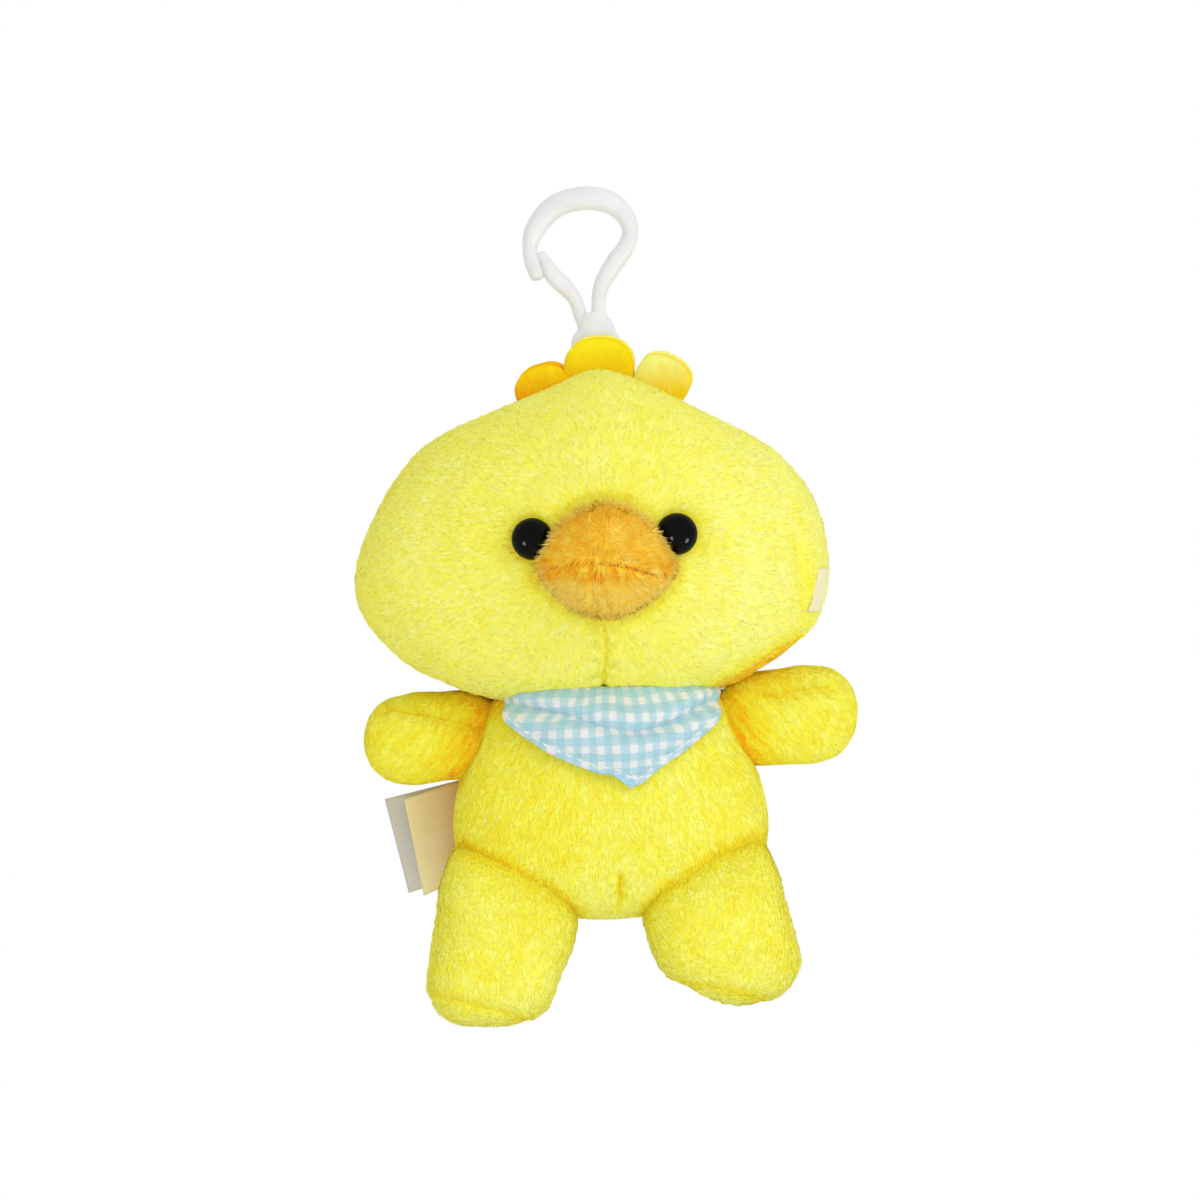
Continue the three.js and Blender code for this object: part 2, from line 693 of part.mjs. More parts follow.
function makeArms() {
  for (const [name, side] of [["left", 1], ["right", -1]]) {
    const skin = solid(armShape(side, 0))
      .subtract(solid(armShape(side, -PLUSH)))
      .subtract(headRoom);
    const plush = cloth(colours.limb);
    const arm = "arm_" + name;
    put(arm + "_front", skin.intersect(inFrontOf(SHOULDER_Y - SEAM / 2)), plush);
    put(arm + "_back", skin.intersect(behind(SHOULDER_Y + SEAM / 2)), plush.clone());
    const filling = solid(armShape(side, -PLUSH - SEAM)).subtract(headRoom);
    put(arm + "_stuffing", filling, cloth(colours.filling));
  }
}

// Body

function makeBody() {
  const cutAway = [headRoom, ...legRooms, ...armRooms];
  const trim = (body) => cutAway.reduce((left, room) => left.subtract(room), body);
  const skin = trim(solid(stuffed(bodyForm)).subtract(solid(stuffed(bodyForm, -PLUSH))));
  const plush = cloth(colours.body);
  put("body_front", skin.intersect(inFrontOf(BODY_SEAM_Y - SEAM / 2)), plush);
  put("body_back", skin.intersect(behind(BODY_SEAM_Y + SEAM / 2)), plush.clone());
  put("body_stuffing", trim(solid(stuffed(bodyForm, -PLUSH - SEAM))), cloth(colours.filling));
}

// Bandana: a band round the neck, a bib on the chest, and a rolled top edge

function makeBandana() {
  const high = CHIN_HEIGHT + CLOTH_TUCK;
  const edge = (points) =>
    points.map(([across, drop]) => [
      SHOULDER_X + (across * SHOULDER_WIDTH) / 2,
      CHIN_HEIGHT - drop,
    ]);
  const above = (points) => {
    const line = edge(points);
    return [...line, [line.at(-1)[0], high], [line[0][0], high]];
  };
  const inner = solid(stuffed(bodyForm, CLOTH_GAP));
  const sheet = solid(stuffed(bodyForm, SEAM + CLOTH)).subtract(inner);
  const rolled = solid(stuffed(bodyForm, SEAM + COWL)).subtract(inner);
  const bib = sheet.intersect(prism(above(BIB_EDGE), -FAR, 0));
  const cowl = rolled.intersect(prism(above(COWL_EDGE), -FAR, 0));
  const ring = sheet.intersect(
    solid(block([-FAR, -FAR, CHIN_HEIGHT + SEAM - BAND_HEIGHT / 2], [FAR, FAR, high])),
  );
  let bandana = ring.add(bib).add(cowl).subtract(headRoom);
  armRooms.forEach((room) => {
    bandana = bandana.subtract(room);
  });
  put("bandana", bandana, cloth(colours.bandana));
}

// Labels

function makeLabels() {
  const seam = meet(
    stuffed(bodyForm),
    new THREE.Vector3(-FAR, BODY_SEAM_Y, LABEL.top - LABEL.height / 2),
    new THREE.Vector3(1, 0, 0),
  );
  const leaf = (wide, y, turn) => {
    const plate = block([-wide, 0, -LABEL.height], [0, LABEL.thick, 0]);
    plate.rotateZ(THREE.MathUtils.degToRad(-turn));
    return solid(plate.translate(seam.x - JOINT_GAP, BODY_SEAM_Y + y, LABEL.top));
  };
  const front = leaf(LABEL.front, LABEL.behindSeam, LABEL.turn);
  const spacing = LABEL.thick + LABEL.apart;
  const back = leaf(LABEL.back, LABEL.behindSeam + spacing, LABEL.turn + LABEL.fan);
  put("care_label_front", front, cloth(colours.labelFront));
  put("care_label_back", back, cloth(colours.labelBack));

  const low = CHIN_HEIGHT + SIDE_LABEL.aboveChin - SIDE_LABEL.height / 2;
  const near = block([0, -SIDE_LABEL.depth, low], [FAR, 0, low + SIDE_LABEL.height]);
  const skin = solid(stuffed(headForm, SEAM + SIDE_LABEL.thick)).subtract(headRoom);
  put("head_side_label", skin.intersect(solid(near)), cloth(colours.labelBack));
}

makeClip();
makeRibbon();
makeHead();
makeFace();
makeCrest();
makeBody();
makeArms();
makeLegs();
makeBandana();
makeLabels();

toy.position.set(-HANG.x, -HANG.y, -HANG.z);
const keychain = new THREE.Group();
keychain.add(toy);

export default keychain;
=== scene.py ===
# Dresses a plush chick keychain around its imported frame: modelled tufts over stuffed
# forms, a gingham bandana, glossy eyes, bare labels and a milky plastic clip.
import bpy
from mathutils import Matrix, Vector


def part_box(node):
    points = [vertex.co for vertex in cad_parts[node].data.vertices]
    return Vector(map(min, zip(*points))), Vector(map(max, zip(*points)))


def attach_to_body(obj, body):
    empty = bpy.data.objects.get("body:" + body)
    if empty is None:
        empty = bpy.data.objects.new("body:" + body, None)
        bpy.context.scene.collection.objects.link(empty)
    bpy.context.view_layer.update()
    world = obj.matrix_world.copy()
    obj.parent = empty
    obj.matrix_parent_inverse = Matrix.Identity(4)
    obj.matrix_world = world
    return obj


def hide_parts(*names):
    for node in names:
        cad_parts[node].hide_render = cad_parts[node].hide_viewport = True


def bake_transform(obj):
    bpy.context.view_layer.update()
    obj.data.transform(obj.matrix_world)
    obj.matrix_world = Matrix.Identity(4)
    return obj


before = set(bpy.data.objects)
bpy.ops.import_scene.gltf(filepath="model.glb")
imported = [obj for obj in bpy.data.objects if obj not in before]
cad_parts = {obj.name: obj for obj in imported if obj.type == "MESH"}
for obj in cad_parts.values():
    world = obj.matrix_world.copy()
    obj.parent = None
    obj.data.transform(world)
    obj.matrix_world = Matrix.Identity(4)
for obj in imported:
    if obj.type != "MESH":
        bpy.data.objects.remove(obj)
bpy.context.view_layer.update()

import copy
import math

import bpy
import numpy as np
from mathutils import Vector

# Sizes are millimetres in the toy's own frame: zero between its soles, +X to the chick's
# left, front towards -Y. The part's origin is the crown of the clip's loop.
ORIGIN = np.array([-0.599, 5.2, 145.907])
MM = 0.001

HEAD = dict(width=85.7, height=60.3, x=-1.25, y=0.0, z=87.15, front=25.0, back=32.0, square=2.1)
BODY = dict(width=57.2, height=48.3, x=0.5, y=4.0, z=41.85, front=18.0, back=20.0, square=2.1)
LEG = dict(width=28.3, height=32.6, x=19.75, y=1.5, z=16.3, front=16.0, back=15.0, square=2.6)
ARM = dict(width=28.0, height=16.6, x=7.0, y=5.0, z=0.0, front=6.4, back=6.4, square=2.4)
BEAK = dict(width=26.2, height=20.8, x=1.3, y=0.0, z=82.8, front=9.5, back=6.0, square=2.1)
SHOULDER = dict(width=46.6, x=1.2, z=51.0, up_left=1.3, tilt_left=5.0)
BODY_SEAM_Y = 12.5
EYE = dict(radius=3.75, dome=3.1, sunk=1.6, spacing=25.6, x=1.2, z=86.8, tilt=13.0)
CREST = dict(puff=1.3, y=0.5, root=12.0)
PETALS = {
    "middle": dict(x=1.15, width=12.7, top=5.6, tilt=0.0),
    "right": dict(x=-10.4, width=10.2, top=0.7, tilt=20.0),
    "left": dict(x=14.6, width=10.4, top=1.4, tilt=-28.0),
}
CLIP = dict(width=18.2, height=20.9, x=-1.2, y=5.2, depth=1.7, trunk=3.2, trunk_half=2.7)
LOOP_DEPTH = 2.04
NECK_X = 0.9  # the neck leans from the loop to here
CROWN_RADIUS = 2.05
TRUNK_TOP = ORIGIN[2] + CROWN_RADIUS - CLIP["height"]
EYE_RING = dict(half_width=3.4, half_height=2.6, rod=1.0, square=2.7)
BAR_Z = TRUNK_TOP - CLIP["trunk"] - 2 * EYE_RING["half_height"]
RIBBON = dict(width=4.0, thick=0.6, gap=0.3, sewn=7.0)

# Outlines as shares of half the width and half the height, from the middle
HEAD_OUTLINE = [
    (0.05, 1), (0.263, 0.904), (0.543, 0.69), (0.8, 0.46), (0.958, 0.144), (1, -0.22),
    (0.93, -0.569), (0.694, -0.844), (0.333, -0.987), (-0.04, -1), (-0.438, -0.95),
    (-0.764, -0.768), (-0.965, -0.453), (-1, -0.204), (-0.916, 0.161), (-0.718, 0.546),
    (-0.391, 0.778), (-0.134, 0.917),
]
BODY_SIDE = [
    (0.315, 0.967), (0.577, 0.834), (0.734, 0.669), (0.84, 0.358), (0.951, 0.068),
    (1, -0.284), (0.955, -0.615), (0.734, -0.851), (0.385, -0.971),
]
LEG_OUTLINE = [
    (0.548, 1), (0.018, 0.933), (-0.477, 0.712), (-0.83, 0.466), (-1, 0.153),
    (-0.943, -0.123), (-0.788, -0.393), (-0.505, -0.724), (-0.124, -0.945), (0.371, -1),
    (0.795, -0.865), (1, -0.552), (0.951, -0.184), (0.852, 0.245), (0.746, 0.706),
]
ARM_SIDE = [(-0.86, 0.48), (-0.5, 0.843), (0, 0.95), (0.4, 1), (0.72, 0.86), (0.93, 0.5)]
PETAL_SIDE = [(0.5, 0.94), (0.88, 0.72), (1, 0.42), (0.94, 0), (0.78, -0.5), (0.66, -0.96)]
BEAK_OUTLINE = [
    (0.02, 1), (0.44, 0.85), (0.79, 0.4), (0.97, -0.2), (0.68, -0.68), (0.3, -0.95),
    (-0.08, -1), (-0.42, -0.88), (-0.76, -0.54), (-0.97, -0.03), (-0.75, 0.5), (-0.4, 0.87),
]
# The loop's middle line and the gate's: share of half the width, share of the height,
# half thickness
HOOK_PATH = [
    (0.302, -0.04, 1.2), (0.319, 0.139, 1.2), (0.39, 0.258, 1.35), (0.681, 0.45, 1.6),
    (0.874, 0.56, 1.5), (0.984, 0.689, 1.35), (0.901, 0.833, 1.6), (0.593, 0.957, 1.95),
    (0.066, 1, CROWN_RADIUS), (-0.462, 0.943, 2), (-0.791, 0.813, 1.85),
    (-0.956, 0.689, 1.6), (-1.015, 0.569, 1.2), (-0.965, 0.45, 1.35), (-0.88, 0.345, 1.25),
]
GATE_PATH = [
    (0.05, -0.2, 0.8), (-0.05, -0.02, 1.2), (-0.165, 0.14, 1.3), (-0.35, 0.245, 1.55),
    (-0.54, 0.33, 1.6), (-0.68, 0.43, 1.3), (-0.79, 0.53, 0.9),
]

# Seams and folds in the front view, as x and z
CHIN_SEAM = [(-0.2, 73.5), (0.7, 70.8), (0.9, 66), (0.3, 62.4), (0.1, 58.2), (0, 56)]
MOUTH = [(-10.5, 81.6), (-5.4, 82.1), (-0.5, 82.3), (4.5, 81.3), (9.1, 79.8), (13.6, 79.8)]
BEAK_SEAM = [(-1.4, 81.2), (-0.9, 77), (-0.3, 72.6)]
BEAK_DIMPLE = (-0.3, 73.6)
BELLY_DART = [(1.9, 26.4), (1.7, 22), (1, 17)]
CHEEK_SHADE = [(20.5, 58), (26, 61), (30.4, 63.5), (35, 66)]
SIDE_FOLD = [(35.5, 84), (36.8, 78), (36.2, 71)]
ARM_SEAMS = {
    "right": [(-38.7, 57.6), (-29.8, 55.8), (-20.8, 53.1)],
    "left": [(28.9, 57.5), (35, 58.4), (40.5, 58.9)],
}
SOLE_SEAMS = {"right": dict(height=3.3, slope=-0.3), "left": dict(height=5.9, slope=-0.25)}
SOLE_FALL = dict(toe=-14, slope=0.123)  # the sole's seam falls from the toes to the heel
FOOT_SHIFT = {"right": -0.9, "left": 2.1}  # the filling lets one foot hang lower
FOOT_CORNER = {"right": (-13.5, 3.5), "left": (9.5, 9)}  # both are fuller on their inner side
BIB_EDGE = [
    (-17.4, 58.5), (-16.9, 55.6), (-15.5, 53.4), (-9.8, 48.7), (-4.5, 46.1), (-1.8, 45),
    (1.8, 44.1), (4.6, 42.4), (5.4, 42.4), (9, 45), (15.7, 49.8), (19.6, 54.5), (19.9, 58.5),
]
COWL_FOLD = [(-17.5, 57.6), (-6.1, 54.9), (-0.1, 52.9), (5.1, 51.8), (12, 53.4), (18.5, 56.5)]
CURLED_TIP = [(1.2, 44.9), (2.9, 43.9), (4.9, 42.6)]


# Numbers and curves

def smooth(value, low, high):
    share = np.clip((value - low) / (high - low), 0, 1)
    return share * share * (3 - 2 * share)


def ridge(distance, width):
    return np.exp(-((distance / width) ** 2))


def unit(vectors):
    return vectors / np.maximum(np.linalg.norm(vectors, axis=-1, keepdims=True), 1e-12)


def stacked(x, y, z):
    """Points from coordinates that are numbers or grids."""
    return np.stack(np.broadcast_arrays(x, y, z), axis=-1).reshape(-1, 3)


def scatter(cells, seed):
    """A number from -1 to 1 for each whole-numbered cell, always the same."""
    key = cells[..., 0] * 73856093 ^ cells[..., 1] * 19349663 ^ cells[..., 2] * 83492791
    key = (key ^ (seed * 974711 + 12345)) & 0xFFFFFFFF
    key = ((key ^ (key >> 15)) * 739981457) & 0xFFFFFFFF
    key = ((key ^ (key >> 13)) * 668265263) & 0xFFFFFFFF
    return ((key ^ (key >> 16)) & 0xFFFF) / 32767.5 - 1


def noise(points, size, seed=0):
    """Smooth noise from -1 to 1 with features about size wide; size may differ by axis."""
    place = points / np.asarray(size, float)
    cell = np.floor(place).astype(np.int64)
    part = place - cell
    part = part * part * (3 - 2 * part)
    total = np.zeros(points.shape[:-1])
    for corner in np.ndindex(2, 2, 2):
        weight = np.prod(np.where(np.array(corner) == 1, part, 1 - part), axis=-1)
        total += weight * scatter(cell + np.array(corner), seed)
    return total


def between(place, low, high, first, last):
    """Goes from first at low to last at high."""
    return ((high - place) * first + (place - low) * last) / (high - low)


def curve(points, steps, closed=True):
    """A centripetal Catmull-Rom curve through points."""
    p = np.array(points, float)
    if not closed:
        p = np.vstack([2 * p[0] - p[1], p, 2 * p[-1] - p[-2]])
    spans = range(len(p)) if closed else range(1, len(p) - 2)
    out = []
    for i in spans:
        q = [p[i - 1], p[i], p[(i + 1) % len(p)], p[(i + 2) % len(p)]]
        t = [0.0]
        for k in range(3):
            t.append(t[-1] + max(np.linalg.norm(q[k + 1] - q[k]) ** 0.5, 1e-6))
        last = not closed and i == len(p) - 3
        s = np.linspace(t[1], t[2], steps + last, endpoint=last)[:, None]
        lines = [between(s, t[k], t[k + 1], q[k], q[k + 1]) for k in range(3)]
        bends = [between(s, t[k], t[k + 2], lines[k], lines[k + 1]) for k in range(2)]
        out.append(between(s, t[1], t[2], *bends))
    return np.vstack(out)


def along_path(flat, path):
    """Each flat point's distance to an open path, and how far along the path it lies."""
    path = np.array(path, float)
    best = np.full(len(flat), np.inf)
    travelled = np.zeros(len(flat))
    start = 0.0
    for a, b in zip(path[:-1], path[1:]):
        step = b - a
        length = np.linalg.norm(step)
        share = np.clip((flat - a) @ step / length**2, 0, 1)
        distance = np.linalg.norm(flat - a - share[:, None] * step, axis=1)
        nearer = distance < best
        best = np.where(nearer, distance, best)
        travelled = np.where(nearer, start + share * length, travelled)
        start += length
    return best, travelled


# Stuffed forms: two panels sewn at an outline, with a rounded section front to back

def both_sides(side):
    return [(0, 1), *side, (0, -1), *[(-across, up) for across, up in reversed(side)]]


def make_form(size, shares, flip=1, pivot=None, tilt=0.0):
    half = np.array([flip * size["width"], size["height"]]) / 2
    rim = curve(np.array(shares) * half, steps=30)
    angle = np.arctan2(rim[:, 1], rim[:, 0])
    order = np.argsort(angle)
    centre = np.array([size["x"], size["y"], size["z"]])
    pivot = centre if pivot is None else np.array(pivot)
    radius = np.hypot(rim[order, 0], rim[order, 1])
    return dict(size, centre=centre, angle=angle[order], radius=radius, pivot=pivot, tilt=tilt)


def spin(points, pivot, degrees):
    """Turns points about an axis along Y, from +X towards +Z."""
    turn = math.radians(degrees)
    x = points[:, 0] - pivot[0]
    z = points[:, 2] - pivot[2]
    turned = points.copy()
    turned[:, 0] = pivot[0] + x * math.cos(turn) - z * math.sin(turn)
    turned[:, 2] = pivot[2] + x * math.sin(turn) + z * math.cos(turn)
    return turned


def rim_radius(form, x, z):
    return np.interp(np.arctan2(z, x), form["angle"], form["radius"], period=2 * math.pi)


def rounded(value, power):
    return np.sign(value) * np.abs(value) ** power


def on_form(form, directions):
    x, y, z = directions.T
    power = 2 / form["square"]
    flat = np.hypot(x, z)
    reach = flat**power * rim_radius(form, x, z) / np.maximum(flat, 1e-9)
    depth = rounded(y, power) * np.where(y < 0, form["front"], form["back"])
    local = stacked(x * reach, depth, z * reach) + form["centre"]
    return spin(local, form["pivot"], form["tilt"])


def level(form, points):
    """1 on the form's surface, less inside it and more outside."""
    local = spin(points, form["pivot"], -form["tilt"]) - form["centre"]
    x, y, z = local.T
    ratio = np.hypot(x, z) / rim_radius(form, x, z)
    depth = np.abs(y) / np.where(y < 0, form["front"], form["back"])
    return (ratio ** form["square"] + depth ** form["square"]) ** (1 / form["square"])


def clearance(form, points):
    """About how far points lie outside the form; negative inside."""
    away = np.linalg.norm(points - form["centre"], axis=1)
    return away * (1 - 1 / np.maximum(level(form, points), 1e-6))


FORWARD = np.array([[0.0, -1.0, 0.0]])
LONGEST_RAY = 120.0
HALVINGS = 40


def hit(form, start, direction, out=0.0):
    """Where rays that start inside the form leave it, moved on by out."""
    near = np.zeros(len(start))
    far = np.full(len(start), LONGEST_RAY)
    for _ in range(HALVINGS):
        middle = (near + far) / 2
        inside = level(form, start + middle[:, None] * direction) < 1
        near = np.where(inside, middle, near)
        far = np.where(inside, far, middle)
    return start + (near + out)[:, None] * direction


def at_depth(flat, y):
    """Points of the front view, given as x and z, set at the depth y."""
    return stacked(flat[:, 0], y, flat[:, 1])


def front_of(form, x, z):
    """The depth of the form's front at x and z."""
    start = at_depth(np.array([[x, z]]), form["centre"][1])
    return hit(form, start, FORWARD)[0, 1]


def arm_form(side):
    left = side > 0
    pivot = [
        SHOULDER["x"] + side * SHOULDER["width"] / 2,
        ARM["y"],
        SHOULDER["z"] + (SHOULDER["up_left"] if left else 0),
    ]
    size = dict(ARM, x=pivot[0] + side * ARM["x"], z=pivot[2])
    shares = [(-1, 0), *ARM_SIDE, (1, 0), *[(a, -u) for a, u in reversed(ARM_SIDE)]]
    return make_form(size, shares, side, pivot, SHOULDER["tilt_left"] if left else 0.0)


head_form = make_form(HEAD, HEAD_OUTLINE)
body_form = make_form(BODY, both_sides(BODY_SIDE))
BEAK["y"] = front_of(head_form, BEAK["x"], BEAK["z"]) + 1
beak_form = make_form(BEAK, BEAK_OUTLINE)
SIDES = {"left": 1, "right": -1}
arm_forms = {name: arm_form(side) for name, side in SIDES.items()}
leg_forms = {
    name: make_form(dict(LEG, x=side * LEG["x"]), LEG_OUTLINE, side) for name, side in SIDES.items()
}


def eye_x(side):
    return EYE["x"] + side * EYE["spacing"] / 2


# Meshes

def cube_ball(cells):
    """Directions spread evenly over a ball, with the faces of a divided cube."""
    steps = np.arange(cells + 1)
    first, second = np.meshgrid(steps, steps, indexing="ij")
    places, quads = [], []
    for axis in range(3):
        for end in (0, cells):
            grid = np.empty((cells + 1, cells + 1, 3), int)
            grid[..., axis] = end
            grid[..., (axis + 1) % 3] = first if end else second
            grid[..., (axis + 2) % 3] = second if end else first
            base = len(places) * (cells + 1) ** 2
            index = base + np.arange((cells + 1) ** 2).reshape(cells + 1, cells + 1)
            around = [index[:-1, :-1], index[1:, :-1], index[1:, 1:], index[:-1, 1:]]
            quads.append(np.stack(around, axis=-1).reshape(-1, 4))
            places.append(grid.reshape(-1, 3))
    whole, inverse = np.unique(np.vstack(places), axis=0, return_inverse=True)
    cube = np.tan((whole / cells * 2 - 1) * math.pi / 4)
    return unit(cube), inverse.reshape(-1)[np.vstack(quads)]


def normals_of(points, faces):
    a, b, c, d = (points[faces[:, k]] for k in (0, 1, 2, -1))
    across = np.cross(c - a, d - b) if faces.shape[1] == 4 else np.cross(b - a, c - a)
    total = np.zeros_like(points)
    for k in range(faces.shape[1]):
        np.add.at(total, faces[:, k], across)
    return unit(total)


def grid_faces(rows, columns, wrap=False):
    index = np.arange(rows * columns).reshape(rows, columns)
    if wrap:
        index = np.hstack([index, index[:, :1]])
    around = [index[:-1, :-1], index[:-1, 1:], index[1:, 1:], index[1:, :-1]]
    return np.stack(around, axis=-1).reshape(-1, 4)


def quad_areas(points, faces):
    a, b, c, d = (points[faces[:, k]] for k in range(4))
    return np.linalg.norm(np.cross(c - a, d - b), axis=1) / 2


def to_frame(points):
    """Millimetres of the toy's frame as metres of the part's."""
    return (points - ORIGIN) * MM


def add_mesh(name, points, faces, materials, slots=None):
    """A mesh object from points in millimetres of the toy's frame."""
    mesh = bpy.data.meshes.new(name)
    faces = np.asarray(faces, np.int32)
    count, corners = faces.shape
    mesh.vertices.add(len(points))
    mesh.vertices.foreach_set("co", to_frame(points).astype(np.float32).ravel())
    mesh.loops.add(count * corners)
    mesh.loops.foreach_set("vertex_index", faces.ravel())
    mesh.polygons.add(count)
    mesh.polygons.foreach_set("loop_start", np.arange(0, count * corners, corners, dtype=np.int32))
    mesh.update(calc_edges=True)
    mesh.polygons.foreach_set("use_smooth", np.full(count, True))
    for material in materials:
        mesh.materials.append(material)
    if slots is not None:
        mesh.polygons.foreach_set("material_index", np.asarray(slots, np.int32))
    mesh.update()
    piece = bpy.data.objects.new(name, mesh)
    bpy.context.scene.collection.objects.link(piece)
    return piece


def attach(piece, slot, body=None, nodes=()):
    """Hangs a piece on the body it rides on and hides the nodes it stands for; slot is not used."""
    if nodes:
        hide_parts(*nodes)
    if body:
        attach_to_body(piece, body)
    return piece


def thicken(piece, thick, offset=-1):
    """Gives a sheet its thickness: outwards with offset 1, inwards with -1, both with 0."""
    solid = piece.modifiers.new("Solidify", "SOLIDIFY")
    solid.thickness = thick * MM
    solid.offset = offset


def keep_values(piece, name, values):
    values = np.asarray(values, np.float32)
    kind = "FLOAT_VECTOR" if values.ndim == 2 else "FLOAT"
    attribute = piece.data.attributes.new(name, kind, "POINT")
    attribute.data.foreach_set("vector" if values.ndim == 2 else "value", values.ravel())


def tube(centres, sides, ups, corners, capped=True):
    """A rod through centres; sides and ups are its half thicknesses as vectors."""
    turn = np.arange(corners) * 2 * math.pi / corners
    ring = np.cos(turn)[None, :, None] * sides[:, None] + np.sin(turn)[None, :, None] * ups[:, None]
    points = (centres[:, None] + ring).reshape(-1, 3)
    faces = grid_faces(len(centres), corners, wrap=True)
    if not capped:
        return points, faces
    step = np.arange(corners // 2 - 1)
    cap = np.stack([step, corners - 1 - step, corners - 2 - step, step + 1], axis=-1)[:, ::-1]
    last = len(points) - corners
    return points, np.vstack([faces, cap, cap[:, ::-1] + last])


def together(parts):
    points, faces, start = [], [], 0
    for p, f in parts:
        points.append(p)
        faces.append(f + start)
        start += len(p)
    return np.vstack(points), np.vstack(faces)


# Materials

def paint(red, green, blue):
    """A colour given as it looks on a screen, from 0 to 255, as scene light."""
    parts = [c / 255 for c in (red, green, blue)]
    light = [c / 12.92 if c <= 0.04045 else ((c + 0.055) / 1.055) ** 2.4 for c in parts]
    return (*light, 1.0)


class Nodes:
    """A material and short ways to add nodes to it."""

    def __init__(self, name, roughness, **sockets):
        self.material = bpy.data.materials.new(name)
        self.material.use_nodes = True
        self.tree = self.material.node_tree
        self.shader = self.tree.nodes["Principled BSDF"]
        self.shader.inputs["Roughness"].default_value = roughness
        for socket, value in sockets.items():
            self.shader.inputs[socket.replace("_", " ")].default_value = value

    def add(self, kind, sockets=None, **settings):
        """A node whose sockets are given as values or as other nodes' outputs."""
        node = self.tree.nodes.new(kind)
        for key, value in settings.items():
            setattr(node, key, value)
        for key, item in (sockets or {}).items():
            if isinstance(item, bpy.types.NodeSocket):
                self.tree.links.new(item, node.inputs[key])
            else:
                node.inputs[key].default_value = item
        return node

    def place(self):
        return self.add("ShaderNodeTexCoord").outputs["Object"]

    def value(self, name, output="Fac"):
        return self.add("ShaderNodeAttribute", attribute_name=name).outputs[output]

    def axes(self, vector):
        return self.add("ShaderNodeSeparateXYZ", {0: vector}).outputs

    def noise(self, size, detail=2.0, stretch=None):
        """Noise with features about size millimetres wide."""
        place = self.place()
        if stretch:
            sockets = {"Vector": place, "Scale": stretch}
            place = self.add("ShaderNodeMapping", sockets).outputs["Vector"]
        sockets = {"Vector": place, "Scale": 1 / (size * MM), "Detail": detail}
        return self.add("ShaderNodeTexNoise", sockets).outputs["Fac"]

    def work_out(self, operation, *items):
        sockets = dict(enumerate(items))
        return self.add("ShaderNodeMath", sockets, operation=operation).outputs[0]

    def drift(self, size, reach, middle=0.0, **more):
        """Noise that goes from half of reach below middle to half above it."""
        low = middle - reach / 2
        return self.work_out("MULTIPLY_ADD", self.noise(size, **more), reach, low)

    def share(self, value, low, high):
        """How far value is on its way from low to high."""
        sockets = {"Value": value, "From Min": low, "From Max": high}
        return self.add("ShaderNodeMapRange", sockets).outputs[0]

    def colour(self, share, stops):
        """Colours the surface with the stops' colours, by share."""
        node = self.add("ShaderNodeValToRGB", {"Fac": share})
        elements = node.color_ramp.elements
        while len(elements) < len(stops):
            elements.new(0.5)
        for element, (position, colour) in zip(elements, stops):
            element.position = position
            element.color = colour
        self.tree.links.new(node.outputs["Color"], self.shader.inputs["Base Color"])

    def mottle(self, size, dark, light, low=0.3, high=0.7):
        """Colours the surface with noise between two tones."""
        self.colour(self.noise(size), [(low, dark), (high, light)])

    def bump(self, height, distance):
        node = self.add("ShaderNodeBump", {"Height": height, "Distance": distance * MM})
        self.tree.links.new(node.outputs["Normal"], self.shader.inputs["Normal"])

    def threads(self, name, scale, distance, distortion=0.0):
        """Raised threads, one beside the other along the second axis of an attribute."""
        sockets = {"Vector": self.value(name, "Vector"), "Scale": scale, "Distortion": distortion}
        wave = self.add("ShaderNodeTexWave", sockets, wave_type="BANDS", bands_direction="Y")
        self.bump(wave.outputs["Fac"], distance)


SHEEN = dict(Sheen_Weight=0.2, Sheen_Roughness=0.5, Specular_IOR_Level=0.1)


def plush_cloth(name, tones):
    """The cloth under the pile: its tone deepens with painted shade in creases and hollows, pales
    where light is painted, and drifts at random over the piece.
    """
    made = Nodes(name, 0.95, Sheen_Tint=tones[0], **SHEEN)
    drifts = made.work_out("ADD", made.drift(1.3, 0.7), made.drift(14, 0.5, 0.1, detail=1.0))
    depth = made.work_out("ADD", made.value("crease"), drifts)
    made.colour(depth, [(k / (len(tones) - 1), tone) for k, tone in enumerate(tones)])
    made.bump(made.noise(0.35, 3.0), 0.3)
    return made.material


def tuft_fibres(name, tones):
    """The pile itself: one plain fibre colour for each tone. A tuft's tone is its random tone moved
    by the cloth's painted shade and light.
    """
    return [
        Nodes(f"{name}_{number}", 0.9, Base_Color=tone, Sheen_Tint=tones[0], **SHEEN).material
        for number, tone in enumerate(tones)
    ]


# Plush pieces

